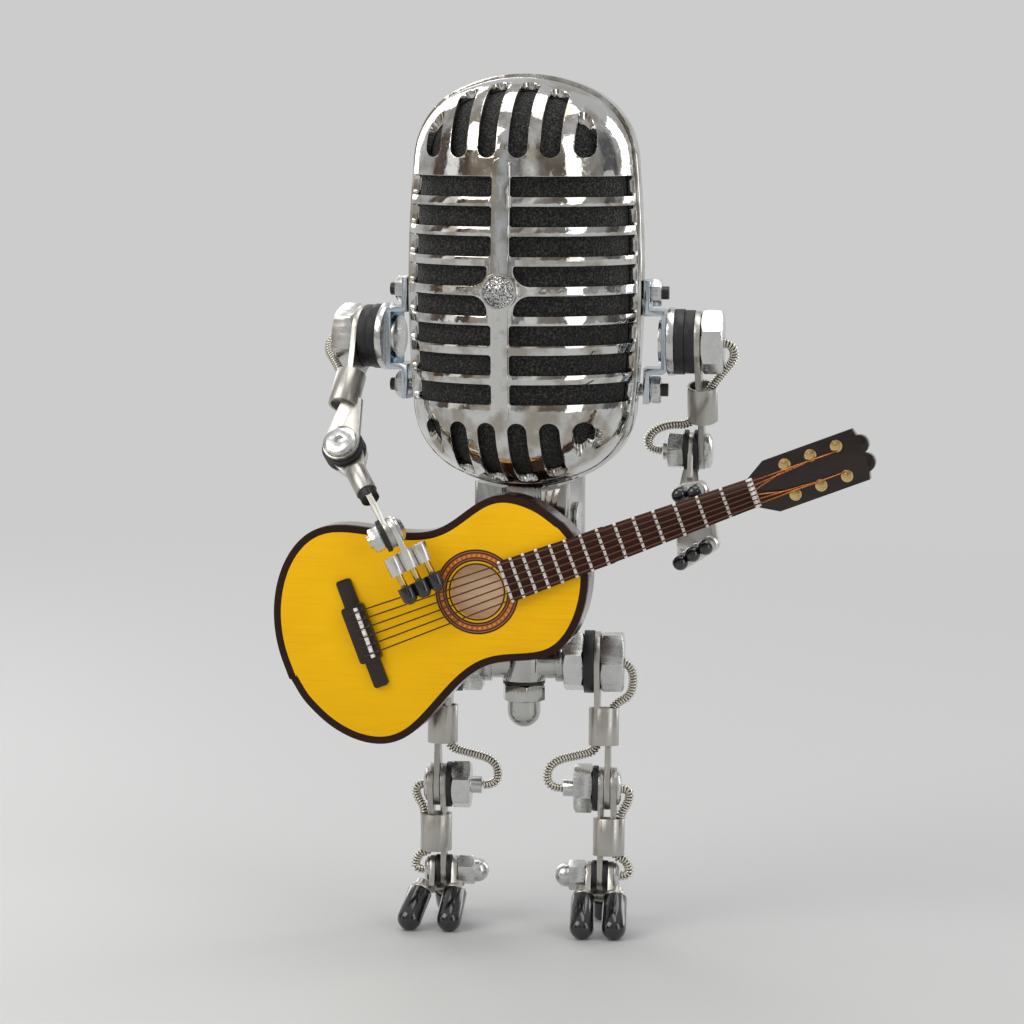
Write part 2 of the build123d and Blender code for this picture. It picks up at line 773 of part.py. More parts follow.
# ---------------------------------------------------------------- robot's right forearm and hand (-X)
right_bend = 36.2
right_fore_length = 35.2
fore_start = 9.0
fore_barrel = 9.0
fore_barrel_radius = 3.2
fore_barrel_mouth = 2.5
fore_sleeve = 3.0
fore_sleeve_radius = 2.8
fore_strip = 3.9
inward = -right_axis
right_fore_down = (right_down * cos(radians(right_bend)) + inward * sin(radians(right_bend)))
right_fore_eye = right_elbow - right_elbow_axis * forearm_eye
right_wrist = right_fore_eye + right_fore_down * right_fore_length
wrist_tilt = 36.0
right_wrist_axis = right_fore_down.cross(Vector(0, cos(radians(wrist_tilt)), -sin(radians(wrist_tilt))))
right_wrist_axis = right_wrist_axis.normalized()
if right_wrist_axis.X > 0:
    right_wrist_axis = -right_wrist_axis
right_wrist_plane = joint_plane(right_wrist, -right_wrist_axis, -right_fore_down)

fore_tube = Plane(origin=right_fore_eye + right_fore_down * fore_start, x_dir=right_elbow_axis,
                  z_dir=right_fore_down)
strip_reach = right_fore_length - fore_start - fore_barrel + mouth_depth + 0.5
forearm_right = fused(
    eye_plate(joint_plane(right_fore_eye, right_elbow_axis, right_fore_down), elbow_eye,
              fore_start + mouth_depth + 0.5, 5.0, lug_thickness, elbow_shank + 0.02),
    barrel(fore_tube, fore_barrel, fore_barrel_radius, fore_barrel_mouth),
    ring(fore_tube, fore_barrel - 0.5, fore_barrel + fore_sleeve, fore_sleeve_radius),
    eye_plate(right_wrist_plane, wrist_eye, strip_reach, fore_strip, lug_thickness, wrist_shank + 0.02))

forearm_right_bolts = group([elbow_bolt(right_elbow_plane, 5.2, 1.6, True), wrist_bolt(right_wrist_plane)])
forearm_right_washers = group(elbow_washers(right_elbow_plane) + [wrist_washer(right_wrist_plane)])

finger_direction = Vector(0.46, 0.05, -0.88)
hand_side = right_wrist_plane.z_dir
finger_direction = (finger_direction - hand_side * finger_direction.dot(hand_side)).normalized()
right_hand_eye = right_wrist + hand_side * hand_eye_offset
right_metal, right_tips = [], []
for place in (-1, 0, 1):
    root = right_wrist + hand_side * (hand_eye_offset + place * 2 * finger_barrel * 0.98)
    metal, tip = finger(root + finger_direction * 6.4, finger_direction, 5.8, 9.8, 13.0)
    right_metal.append(metal)
    right_tips.append(tip)
hand_right = fused(
    eye_plate(joint_plane(right_hand_eye, hand_side, finger_direction), wrist_eye, 8.0, 4.0,
              lug_thickness, wrist_shank + running_gap), *right_metal)
fingertips_right = group(right_tips)

# ---------------------------------------------------------------- cable sheaths of the arms
def arm_sheaths_left():
    """From the shoulder bolt's end to the barrel, and from the barrel to the elbow bolt's tip."""
    axis, down = left_axis, left_down
    tip = axis * (shoulder_tip - 2.0) + up * shoulder_height
    tube = left_shoulder + axis * (barrel_out + 1.9) + down * barrel_start
    upper = [tip, tip + axis * 5.2, tip + axis * 6.6 + down * 5.2, tip + axis * 1.5 + down * 11.2,
             tube + down * 1.8]
    elbow_end = left_elbow - axis * (elbow_tip + 0.3)
    mouth = left_shoulder + axis * (barrel_out - 2.6) + down * (barrel_start + barrel_length)
    lower = [mouth - down * 1.8, mouth - axis * 0.4 + down * 1.7, mouth - axis * 9.0 + down * 1.7,
             elbow_end - axis * 4.6 - down * 4.6, elbow_end - axis * 3.8, elbow_end]
    return [sheath(upper), sheath(lower)]


def arm_sheaths_right():
    """From the shoulder bolt's end to the barrel."""
    axis, down = right_axis, right_down
    tip = axis * (shoulder_tip - 2.0) + up * shoulder_height
    tube = right_shoulder + axis * (barrel_out + 1.9) + down * barrel_start
    upper = [tip, tip + axis * 5.2, tip + axis * 6.6 + down * 5.2, tip + axis * 1.5 + down * 11.2,
             tube + down * 1.8]
    return [sheath(upper)]


upper_arm_left_sheaths = group(arm_sheaths_left())
upper_arm_right_sheaths = group(arm_sheaths_right())

# ---------------------------------------------------------------- pole, tee and hips
tee_plane = Plane(origin=(0, 0, hip_height), x_dir=up, z_dir=leg_axis(1))
pole_plane = Plane(origin=(0, 0, 0), x_dir=(1, 0, 0), z_dir=(0, 0, 1))
tee_bottom = hip_height - tee_stub_down
pole_washer_thickness = 1.1
acorn_top = tee_bottom - pole_washer_thickness
pole_seat = hip_height + tee_stub_up

with BuildPart() as hip_tee:
    add(ring(tee_plane, -tee_length / 2, tee_length / 2, tee_radius))
    add(ring(tee_plane, -tee_length / 2, tee_rim_width - tee_length / 2, tee_rim_radius))
    add(ring(tee_plane, tee_length / 2 - tee_rim_width, tee_length / 2, tee_rim_radius))
    add(ring(pole_plane, tee_bottom, pole_seat, tee_stub_radius))
    add(ring(pole_plane, 0, 2 * hip_height, stud_radius + 0.05), mode=Mode.SUBTRACT)
    add(ring(tee_plane, -tee_length, tee_length, hip_shank + 0.05), mode=Mode.SUBTRACT)

spigot_top = swivel_bottom + pole_spigot_height
torso_pole = turned(pole_plane, [
    (0, pole_seat - 6), (pole_bore, pole_seat - 6), (pole_bore, spigot_top), (pole_spigot, spigot_top),
    (pole_spigot, swivel_bottom), (pole_radius, swivel_bottom), (pole_radius, pole_seat),
    (stud_radius, pole_seat), (stud_radius, acorn_top - acorn_hex_height),
    (0, acorn_top - acorn_hex_height)])

acorn_plane = Plane(origin=(0, 0, acorn_top), x_dir=(1, 0, 0), z_dir=(0, 0, -1))
with BuildPart() as acorn_nut:
    add(hexagon(acorn_plane, 0, acorn_hex_height, acorn_flats, turn=12))
    add(capsule(acorn_plane, 1.0, acorn_height - acorn_dome_radius, acorn_dome_radius))
    add(ring(pole_plane, acorn_top - acorn_hex_height - 0.3, hip_height, stud_radius + 0.05),
        mode=Mode.SUBTRACT)

hip_rubber_thickness = 3.1


def hip_stack(side):
    """Heights along one hip bolt, from the pole outwards."""
    nut = tee_length / 2 + 0.05
    eye = hip_reach[side]
    rubber_end = eye - half_lug - axial_gap
    return nut, rubber_end, eye


def hip_plane(side):
    return Plane(origin=(0, 0, hip_height), x_dir=up, z_dir=leg_axis(side))


def hip_bolt(side):
    """The hip's hex bolt and the nut that locks it against the tee."""
    nut, rubber_end, eye = hip_stack(side)
    head = eye + half_lug + axial_gap
    plane = hip_plane(side)
    with BuildPart() as item:
        add(ring(plane, stud_radius + 0.6, head + 0.5, hip_shank))
        add(hexagon(plane, nut, rubber_end - hip_rubber_thickness, 16.0, turn=10))
        add(hexagon(plane, head, head + large_head + 0.4, large_flats, turn=28))
        add(ring(plane, head + large_head - 2.0, head + large_head + 1, sheath_radius + 0.5),
            mode=Mode.SUBTRACT)
    return item.part


def hip_washer(side):
    nut, rubber_end, eye = hip_stack(side)
    return ring(hip_plane(side), rubber_end - hip_rubber_thickness + 0.02, rubber_end - 0.02,
                rubber_radius - 0.3, hip_shank + 0.05)


hip_bolts = group(hip_bolt(side) for side in (1, -1))
hip_washers = group([hip_washer(1), hip_washer(-1),
                     ring(pole_plane, acorn_top + 0.02, tee_bottom - 0.02, 6.4, stud_radius + 0.05)])

gland_plane = Plane(origin=(0, 0, hip_height + 4.0), x_dir=up, z_dir=leg_back)
with BuildPart() as cable_gland:
    add(turned(gland_plane, [(1.6, tee_stub_radius - 1.2), (gland_radius, tee_stub_radius - 1.2),
                             (gland_radius, tee_stub_radius + 2), (gland_radius - 1.2, gland_height + 4),
                             (1.6, gland_height + 4)]))
    add(ring(pole_plane, 0, 2 * hip_height, tee_stub_radius + 0.02), mode=Mode.SUBTRACT)


# ---------------------------------------------------------------- legs
def leg_frame(side):
    """Hip eye, axis, direction down the leg, knee and ankle points on the leg's centre line."""
    axis = leg_axis(side)
    lean = radians(leg_lean[side])
    down = -leg_back * sin(lean) - up * cos(lean)
    hip = axis * hip_reach[side] + up * hip_height
    knee = hip + down * thigh_length
    return hip, axis, down, knee, knee + down * shin_length


thigh_out = 2.0             # the barrel lies this far outside the hip eye
knee_out = 3.4              # and the knee eye this far
fork_step = lug_thickness + 0.25
shin_out = 3.9
ankle_out = 1.4


def thigh(side):
    hip, axis, down, knee, ankle = leg_frame(side)
    tube = Plane(origin=hip + axis * thigh_out + down * thigh_start, x_dir=axis, z_dir=down)
    lower_reach = thigh_length - thigh_start - thigh_barrel + mouth_depth + 0.5
    return fused(
        eye_plate(joint_plane(hip, axis, down), large_eye, thigh_start + mouth_depth + 0.5, 6.0,
                  lug_thickness, hip_shank + running_gap),
        barrel(tube, thigh_barrel),
        eye_plate(joint_plane(knee + axis * knee_out, axis, -down), knee_eye, lower_reach, 5.6,
                  lug_thickness, knee_shank + running_gap))


def shin(side):
    """A forked top that straddles the thigh's eye, a barrel, and the ankle's eye."""
    hip, axis, down, knee, ankle = leg_frame(side)
    tube = Plane(origin=knee + axis * shin_out + down * shin_start, x_dir=axis, z_dir=down)
    lower_reach = shin_length - shin_start - shin_barrel + mouth_depth + 0.5
    prongs = [eye_plate(joint_plane(knee + axis * (knee_out + step), axis, down), knee_eye,
                        shin_start + mouth_depth + 0.5, 5.0, lug_thickness, knee_shank + 0.02)
              for step in (-fork_step, fork_step)]
    return fused(
        *prongs, barrel(tube, shin_barrel, 4.8, 3.8),
        eye_plate(joint_plane(ankle + axis * ankle_out, axis, -down), ankle_eye, lower_reach, 5.0,
                  lug_thickness, ankle_shank + 0.02))


def knee_bolt(side):
    hip, axis, down, knee, ankle = leg_frame(side)
    centre = knee + axis * knee_out
    outwards = joint_plane(centre, axis, down)
    inwards = joint_plane(centre, -axis, down)
    fork = fork_step + half_lug
    nut = fork + 1.6
    return fused(
        ring(inwards, -fork - 0.3, nut + knee_nut, knee_shank),
        ring(inwards, nut + knee_nut - 0.5, nut + knee_nut + 3.2, 2.6),
        turned(outwards, [(0, fork), (5.0, fork), (5.0, fork + 0.7), (3.8, fork + 1.3), (0, fork + 1.3)]),
        hexagon(inwards, nut, nut + knee_nut, knee_flats, turn=10))


def ankle_bolt(side):
    hip, axis, down, knee, ankle = leg_frame(side)
    centre = ankle + axis * ankle_out
    outwards = joint_plane(centre, axis, down)
    inwards = joint_plane(centre, -axis, down)
    arm = ankle_arm_offset + foot_sheet / 2 + axial_gap
    return fused(
        ring(inwards, -arm - 0.3, arm + ankle_nut, ankle_shank),
        turned(outwards, [(0, arm), (4.0, arm), (4.0, arm + 0.7), (3.0, arm + 1.5), (0, arm + 1.5)]),
        hexagon(inwards, arm, arm + ankle_nut, ankle_flats, turn=8),
        capsule(inwards, arm + ankle_nut - 0.2, arm + ankle_nut + 0.6, ankle_ball))


ankle_arm_offset = half_lug + 1.6 + foot_sheet / 2 + axial_gap


def shin_washers(side):
    """The knee's rubber washer, and one on each side of the ankle's eye."""
    hip, axis, down, knee, ankle = leg_frame(side)
    fork = fork_step + half_lug
    inwards = joint_plane(knee + axis * knee_out, -axis, down)
    ankle_in = joint_plane(ankle + axis * ankle_out, -axis, down)
    ankle_outer = joint_plane(ankle + axis * ankle_out, axis, down)
    return [ring(inwards, fork + 0.02, fork + 1.58, knee_rubber, knee_shank + 0.02),
            ring(ankle_in, half_lug + 0.02, half_lug + 1.58, 4.6, ankle_shank + 0.02),
            ring(ankle_outer, half_lug + 0.02, half_lug + 1.58, 4.6, ankle_shank + 0.02)]


def thigh_sheaths(side):
    """Hip bolt to barrel, and barrel to the knee bolt's tip."""
    hip, axis, down, knee, ankle = leg_frame(side)
    head_end = hip_reach[side] + half_lug + axial_gap + large_head + 0.4
    tip = axis * (head_end - 1.8) + up * hip_height
    tube = hip + axis * (thigh_out + 1.7) + down * thigh_start
    upper = [tip, tip + axis * spring_reach[side], tip + axis * (spring_reach[side] + 0.3) + down * 10.0,
             tip - axis * 1.2 + down * 12.7, tube + down * 1.8]
    fork = fork_step + half_lug
    knee_tip = knee + axis * (knee_out - fork - 1.6 - knee_nut - 3.2 - 0.3)
    mouth = hip + axis * (thigh_out - 1.9) + down * (thigh_start + thigh_barrel)
    lower = [mouth - down * 1.8, mouth + down * 1.6, mouth - axis * 5.0 + down * 3.0,
             knee_tip - axis * 3.2 - down * 8.0, knee_tip - axis * 5.0 - down * 3.6,
             knee_tip - axis * 3.6, knee_tip]
    return [sheath(upper), sheath(lower)]


def shin_sheaths(side):
    """Knee bolt to barrel, and barrel to ankle."""
    hip, axis, down, knee, ankle = leg_frame(side)
    fork = fork_step + half_lug
    head_end = knee + axis * (knee_out + fork + 1.35)
    tube = knee + axis * (shin_out + 3.65) + down * (shin_start - 0.1)
    upper = [head_end, head_end + axis * 2.4, head_end + axis * 2.6 + down * 3.4, tube - down * 1.6,
             tube]
    mouth = knee + axis * (shin_out + 1.9) + down * (shin_start + shin_barrel)
    arm_end = ankle + axis * (ankle_out + ankle_arm_offset + foot_sheet / 2 + axial_gap + 1.5 + 0.02)
    lower = [mouth - down * 1.8, mouth + down * 0.4, mouth + axis * 3.4 + down * 1.2,
             arm_end + axis * 3.2 - down * 1.6, arm_end + axis * 2.4, arm_end]
    return [sheath(upper), sheath(lower)]


def foot_pieces(side):
    """A forked foot: two arms with eyes, a bridge behind them, two toes and a heel."""
    hip, axis, down, knee, ankle = leg_frame(side)
    centre = ankle + axis * ankle_out
    centre_z = centre.Z
    front = -leg_back
    slope = radians(toe_angle)
    outer_turn = radians(toe_yaw[side] + toe_splay[side])
    inner_turn = radians(toe_yaw[side] - toe_splay[side])
    length = (centre_z - toe_radius + toe_flat) / sin(slope)
    metal, caps = [], []
    ends = [(front * cos(outer_turn) + axis * sin(outer_turn), axis * toe_spread),
            (front * cos(inner_turn) + axis * sin(inner_turn), axis * -toe_spread),
            (leg_back, axis * 0)]
    for number, (heading, across) in enumerate(ends):
        direction = (heading * cos(slope) - up * sin(slope)).normalized()
        plane = Plane(origin=centre + across, z_dir=direction)
        start = toe_start if number < 2 else heel_start
        metal.append(ring(plane, start - 2.0, length - 2, toe_rod))
        metal.append(ring(plane, start, start + 1.3, toe_radius - 0.5))
        with BuildPart() as cap:
            add(capsule(plane, start + 1.4, length, toe_radius))
            add(ring(plane, 0, length - 1.9, toe_rod + 0.02), mode=Mode.SUBTRACT)
            split(bisect_by=Plane(origin=(0, 0, 0), z_dir=(0, 0, 1)), keep=Keep.TOP)
        caps.append(cap.part)
    arms = []
    for place in (1, -1):
        eye = centre + axis * place * ankle_arm_offset
        plate = joint_plane(eye, axis, front * cos(slope) - up * sin(slope))
        arms.append(eye_plate(plate, ankle_eye, 7.4, 4.0, foot_sheet, ankle_shank + running_gap))
        bar = joint_plane(eye, axis, leg_back * cos(slope) - up * sin(slope))
        arms.append(eye_plate(bar, ankle_eye, 8.6, 4.4, foot_sheet, ankle_shank + running_gap))
    bridge_dir = (leg_back * cos(slope) - up * sin(slope)).normalized()
    bridge = Plane(origin=centre + bridge_dir * 7.4, x_dir=axis, z_dir=bridge_dir)
    with BuildPart() as yoke:
        with BuildSketch(bridge):
            Rectangle(2 * ankle_arm_offset + foot_sheet, 4.4)
        extrude(amount=1.6)
    return fused(*arms, *metal, yoke.part), group(caps)


legs = {}
for side, name in ((1, "left"), (-1, "right")):
    legs["thigh_" + name] = thigh(side)
    legs["thigh_" + name + "_sheaths"] = group(thigh_sheaths(side))
    legs["shin_" + name] = shin(side)
    legs["shin_" + name + "_sheaths"] = group(shin_sheaths(side))
    legs["shin_" + name + "_bolts"] = group([knee_bolt(side), ankle_bolt(side)])
    legs["shin_" + name + "_washers"] = group(shin_washers(side))
    legs["foot_" + name], legs["toe_caps_" + name] = foot_pieces(side)

# ---------------------------------------------------------------- guitar
tilt = radians(guitar_tilt)
guitar_back = guitar_face + guitar_depth
guitar_origin = Vector(guitar_centre[0], guitar_face, guitar_centre[1])
neck_dir = Vector(cos(tilt), 0, sin(tilt))
guitar_front = Plane(origin=guitar_origin, x_dir=neck_dir, z_dir=(0, -1, 0))


def body_outline(inset):
    """Outline of the guitar's body, shrunk by inset, in the guitar's own coordinates."""
    with BuildLine() as half:
        Spline((tail_u, 0), lower_bout, waist, upper_bout, (heel_u, board_half_start),
               tangents=[(0, 1), (0.35, -1)], tangent_scalars=[1.3, 1.0])
    curve = half.line
    corners = []
    for step in range(outline_steps + 1):
        point = curve @ (step / outline_steps)
        along = curve % (step / outline_steps)
        corners.append((point.X + inset * along.Y, point.Y - inset * along.X))
    corners[0] = (tail_u + inset, 0)
    far = [(u, -v) for u, v in reversed(corners)]
    with BuildSketch() as outline:
        with BuildLine():
            Spline(*corners, tangents=[(0, 1), (0.35, -1)])
            Line(corners[-1], far[0])
            Spline(*far, tangents=[(-0.35, -1), (0, 1)])
        make_face()
    return outline.sketch_local


body_shape = body_outline(0)
top_shape = body_outline(binding_width)


def guitar_box(start, end, half, low, high):
    """A block on the guitar: from start to end along the neck, low to high above its face."""
    with BuildPart() as item:
        with BuildSketch(guitar_front.offset(low)):
            with Locations(((start + end) / 2, 0)):
                Rectangle(end - start, 2 * half)
        extrude(amount=high - low)
    return item.part


def string_place(number, span):
    """Where a string crosses, from -span / 2 to span / 2."""
    return span * (number / (string_count - 1) - 0.5)


def guitar_point(along, across, height):
    return guitar_front.from_local_coords((along, across, height))


with BuildPart() as guitar_body:
    with BuildSketch(guitar_front.offset(-guitar_depth)):
        add(body_shape)
    extrude(amount=guitar_depth - soundboard_thickness)
    add(ring(guitar_front, -soundboard_thickness - recess_depth, 0, recess_radius), mode=Mode.SUBTRACT)
    add(ring(guitar_mount, guitar_back - swivel_front - guitar_screw_grip - 0.2, 0,
             guitar_screw_radius + 0.05), mode=Mode.SUBTRACT)

with BuildPart() as guitar_binding:
    with BuildSketch(guitar_front.offset(-soundboard_thickness)):
        add(body_shape)
        add(top_shape, mode=Mode.SUBTRACT)
    extrude(amount=soundboard_thickness)

with BuildPart() as soundboard:
    with BuildSketch(guitar_front.offset(-soundboard_thickness)):
        add(top_shape)
        Circle(sound_hole, mode=Mode.SUBTRACT)
    extrude(amount=soundboard_thickness)

with BuildPart() as guitar_screw:
    add(ring(guitar_mount, guitar_back - swivel_front, 0, standoff_radius))
    add(ring(guitar_mount, guitar_back - swivel_front - guitar_screw_grip, swivel_grip - 0.2,
             guitar_screw_radius))


def neck_section(along, half, depth):
    """The neck's section at one place: flat under the fretboard, round behind."""
    plane = Plane(origin=guitar_point(along, 0, 0), x_dir=guitar_front.y_dir, z_dir=neck_dir)
    with BuildSketch(plane) as section:
        with BuildLine():
            Line((-half, 0), (half, 0))
            Spline((half, 0), (0.72 * half, -0.72 * depth), (0, -depth), (-0.72 * half, -0.72 * depth),
                   (-half, 0), tangents=[(0, -1), (0, 1)])
        make_face()
    return section.sketch


def headstock():
    """The headstock: shoulders beside the nut, straight sides and a crest of two lobes."""
    half, end = headstock_half, headstock_end
    upper = [(board_end, board_half_end), (board_end + headstock_shoulder, half), (end - crest_depth, half),
             (end - 0.8 * crest_depth, 0.72 * half)]
    lower = [(along, -across) for along, across in reversed(upper)]
    notch = (end - crest_notch, 0)
    with BuildPart() as item:
        with BuildSketch(guitar_front):
            with BuildLine():
                Polyline(*lower, *upper)
                ThreePointArc(upper[-1], (end, 0.4 * half), notch)
                ThreePointArc(notch, (end, -0.4 * half), lower[0])
            make_face()
        extrude(amount=-headstock_thickness)
    return item.part


neck_joint = 0.6
heel_depth = 0.85 * guitar_depth
with BuildPart() as neck_shaft:
    loft(sections=[neck_section(heel_u + 0.02, board_half_start - neck_joint, neck_depth).face(),
                   neck_section(board_end + 3, board_half_end, neck_depth - 1.4).face()])
with BuildPart() as neck_heel:
    loft(sections=[neck_section(heel_u + 0.02, board_half_start - neck_joint, heel_depth).face(),
                   neck_section(heel_u + 9, board_half_start - neck_joint, neck_depth - 0.5).face()])
guitar_neck = fused(neck_shaft.part, neck_heel.part, headstock())

with BuildPart() as fretboard:
    with BuildSketch(guitar_front):
        Polygon((board_start, board_half_start), (board_start, -board_half_start),
                (board_end, -board_half_end), (board_end, board_half_end), align=None)
    extrude(amount=board_thickness)


def board_half(along):
    share = (along - board_start) / (board_end - board_start)
    return board_half_start + share * (board_half_end - board_half_start)


fret_places = [board_end - fret_scale * (1 - 2 ** (-fret / 12)) for fret in range(1, fret_count + 1)]
with BuildPart() as fret_wires:
    for along in fret_places:
        wire = Plane(origin=guitar_point(along, 0, board_thickness), x_dir=neck_dir,
                     z_dir=guitar_front.y_dir)
        add(ring(wire, 0.1 - board_half(along), board_half(along) - 0.1, fret_radius))
    split(bisect_by=guitar_front.offset(board_thickness), keep=Keep.TOP)

saddle_height = bridge_height + 0.5
nut_height = board_thickness + 0.9
nut = guitar_box(board_end + 0.02, board_end + 1.6, board_half_end, 0.02, nut_height)
saddle = guitar_box(bridge_u + 0.6, bridge_u + 1.8, saddle_half, bridge_height + 0.02, saddle_height)
frets = group([fret_wires.part, nut, saddle])

with BuildPart() as bridge:
    with BuildSketch(guitar_front):
        with Locations((bridge_u, 0)):
            RectangleRounded(bridge_width, 2 * bridge_half, 1.0)
    extrude(amount=bridge_wing_height)
    with BuildSketch(guitar_front):
        with Locations((bridge_u, 0)):
            RectangleRounded(bridge_middle_width, 2 * bridge_middle_half, 1.0)
    extrude(amount=bridge_height)

peg_places = [peg_first + peg_pitch * order for order in range(string_count // 2)]
post_height = 2.2
with BuildPart() as tuning_pegs:
    for along in peg_places:
        for side in (1, -1):
            foot = Plane(origin=guitar_point(along, side * peg_across, 0), z_dir=guitar_front.z_dir)
            add(turned(foot, [(0, 0.02), (peg_bush_radius, 0.02), (peg_bush_radius, 0.5), (peg_radius, 0.5),
                              (peg_radius, post_height), (0, post_height)]))
            behind = Plane(origin=guitar_point(along, side * peg_across, -headstock_thickness - 0.02),
                           z_dir=-guitar_front.z_dir)
            add(turned(behind, [(0, 0), (peg_bush_radius, 0), (peg_bush_radius, 1.6), (0, 1.6)]))

string_low = saddle_height + string_radius + 0.02
string_high = nut_height + string_radius + 0.03


def guitar_string(number):
    """One string: from the bridge over the saddle and the nut to its post."""
    tail = string_place(number, string_span_bridge)
    top = string_place(number, string_span_nut)
    side = 1 if number >= string_count / 2 else -1
    order = number - 3 if side > 0 else 2 - number
    across = side * (peg_across - peg_radius - string_radius - 0.08)
    points = [guitar_point(bridge_u - 1.2, tail, string_low), guitar_point(board_end + 1.6, top, string_high),
              guitar_point(peg_places[order], across, 1.2)]
    runs = []
    for start, end in zip(points, points[1:]):
        run = Plane(origin=start, z_dir=end - start)
        runs.append(ring(run, string_radius / 2, (end - start).length, string_radius))
    return runs


guitar_strings = group(run for number in range(string_count) for run in guitar_string(number))

# ---------------------------------------------------------------- the finished pieces
pieces = {
    "front_grille": front_grille,
    "rear_grille": rear_grille,
    "seam_band": seam_band,
    "foam_liner": foam_liner,
    "badge_plate": badge_plate,
    "swivel_tongue": swivel_tongue,
    "lamp_socket": lamp_socket,
    "led_bulb": led_bulb,
    "shoulder_brackets": shoulder_brackets,
    "bracket_screws": bracket_screws,
    "shoulder_bolts": shoulder_bolts,
    "shoulder_washers": shoulder_washers,
    "upper_arm_left": upper_arm_left,
    "upper_arm_left_sheaths": upper_arm_left_sheaths,
    "forearm_left": forearm_left,
    "forearm_left_bolts": forearm_left_bolts,
    "forearm_left_washers": forearm_left_washers,
    "hand_left": hand_left,
    "fingertips_left": fingertips_left,
    "upper_arm_right": upper_arm_right,
    "upper_arm_right_sheaths": upper_arm_right_sheaths,
    "forearm_right": forearm_right,
    "forearm_right_bolts": forearm_right_bolts,
    "forearm_right_washers": forearm_right_washers,
    "hand_right": hand_right,
    "fingertips_right": fingertips_right,
    "torso_pole": torso_pole,
    "hip_tee": hip_tee,
    "hip_bolts": hip_bolts,
    "hip_washers": hip_washers,
    "acorn_nut": acorn_nut,
    "cable_gland": cable_gland,
    "swivel_base": swivel_base,
    "swivel_screw": swivel_screw,
    "guitar_screw": guitar_screw,
    "guitar_body": guitar_body,
    "guitar_binding": guitar_binding,
    "soundboard": soundboard,
    "guitar_neck": guitar_neck,
    "fretboard": fretboard,
    "frets": frets,
    "bridge": bridge,
    "tuning_pegs": tuning_pegs,
    "guitar_strings": guitar_strings,
}
pieces.update(legs)
shapes = {name: piece.part if isinstance(piece, BuildPart) else piece for name, piece in pieces.items()}
boxes = [shape.bounding_box() for shape in shapes.values()]
middle_x = (min(box.min.X for box in boxes) + max(box.max.X for box in boxes)) / 2
middle_y = (min(box.min.Y for box in boxes) + max(box.max.Y for box in boxes)) / 2
shift = Vector(-middle_x, -middle_y, -min(box.min.Z for box in boxes))
for name, shape in shapes.items():
    finished = shape.moved(Location(shift))
    finished.label = name
    export_step(finished, "parts/" + name + ".step")
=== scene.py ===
# %% [markdown]
# # A desk lamp in the shape of a robot
#
# The lamp is built from things that a workshop has in its drawers: a slotted microphone case for
# the head, cable lugs for limbs, hex bolts and rubber washers for joints, and a toy guitar. Its
# solids are already modelled and packed, so this lesson dresses them: it gives every piece its
# finish, winds the springs over the cables, and adds the details that only the eye needs.

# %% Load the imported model
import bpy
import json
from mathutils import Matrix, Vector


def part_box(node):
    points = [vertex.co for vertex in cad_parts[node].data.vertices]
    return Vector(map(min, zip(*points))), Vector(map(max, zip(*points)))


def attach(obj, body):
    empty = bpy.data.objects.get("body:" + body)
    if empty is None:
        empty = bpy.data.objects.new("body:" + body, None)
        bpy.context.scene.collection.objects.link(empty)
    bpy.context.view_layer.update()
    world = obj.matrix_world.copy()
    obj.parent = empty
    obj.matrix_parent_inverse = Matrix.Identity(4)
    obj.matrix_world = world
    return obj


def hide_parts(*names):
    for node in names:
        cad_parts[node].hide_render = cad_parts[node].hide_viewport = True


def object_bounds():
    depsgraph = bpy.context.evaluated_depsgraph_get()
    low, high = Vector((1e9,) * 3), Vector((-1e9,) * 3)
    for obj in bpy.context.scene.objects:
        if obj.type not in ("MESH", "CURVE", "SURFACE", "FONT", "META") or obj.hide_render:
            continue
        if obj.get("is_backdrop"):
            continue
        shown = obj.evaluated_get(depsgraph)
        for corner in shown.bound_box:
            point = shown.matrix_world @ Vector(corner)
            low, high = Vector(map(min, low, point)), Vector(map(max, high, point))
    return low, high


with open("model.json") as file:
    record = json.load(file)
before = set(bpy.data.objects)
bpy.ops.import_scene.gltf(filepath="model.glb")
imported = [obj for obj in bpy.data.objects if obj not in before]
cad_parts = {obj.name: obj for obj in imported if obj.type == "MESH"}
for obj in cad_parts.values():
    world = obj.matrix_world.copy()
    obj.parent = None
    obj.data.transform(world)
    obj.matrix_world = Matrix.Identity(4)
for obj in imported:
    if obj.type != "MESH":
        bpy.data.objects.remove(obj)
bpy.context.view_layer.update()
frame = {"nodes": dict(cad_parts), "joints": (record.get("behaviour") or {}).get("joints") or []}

# %% Libraries and units
import json
import math
import random
import bmesh
import bpy
from mathutils import Matrix, Vector

mm = 0.001
nodes = frame["nodes"]
joints = {joint["name"]: joint for joint in frame["joints"]}
sides = ("left", "right")
up = Vector((0, 0, 1))
pole_low, pole_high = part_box("torso_pole")
pole = Vector(((pole_low.x + pole_high.x) / 2, (pole_low.y + pole_high.y) / 2, 0))
print("the pole stands at", tuple(round(c / mm, 1) for c in pole), "mm")

# %% [markdown]
# ## Camera
#
# A long lens from a little above and a little to one side lets the front read clearly while the
# sides still show. Blender's camera looks along its own -Z axis, so its rotation is built from
# three directions: right, up and backwards. Moving an object's rotation sliders would do as well,
# but directions can be worked out from plain angles. A lens given in pixels becomes millimetres
# through the sensor's width.

# %% Camera
image_side = 1024
focal_pixels = 3600
sensor_width = 36.0
azimuth = math.radians(13.0)
elevation = math.radians(6.5)
roll = math.radians(0.27)
distance = 1.087
axis_pixel = 525
aim_height = 0.1263

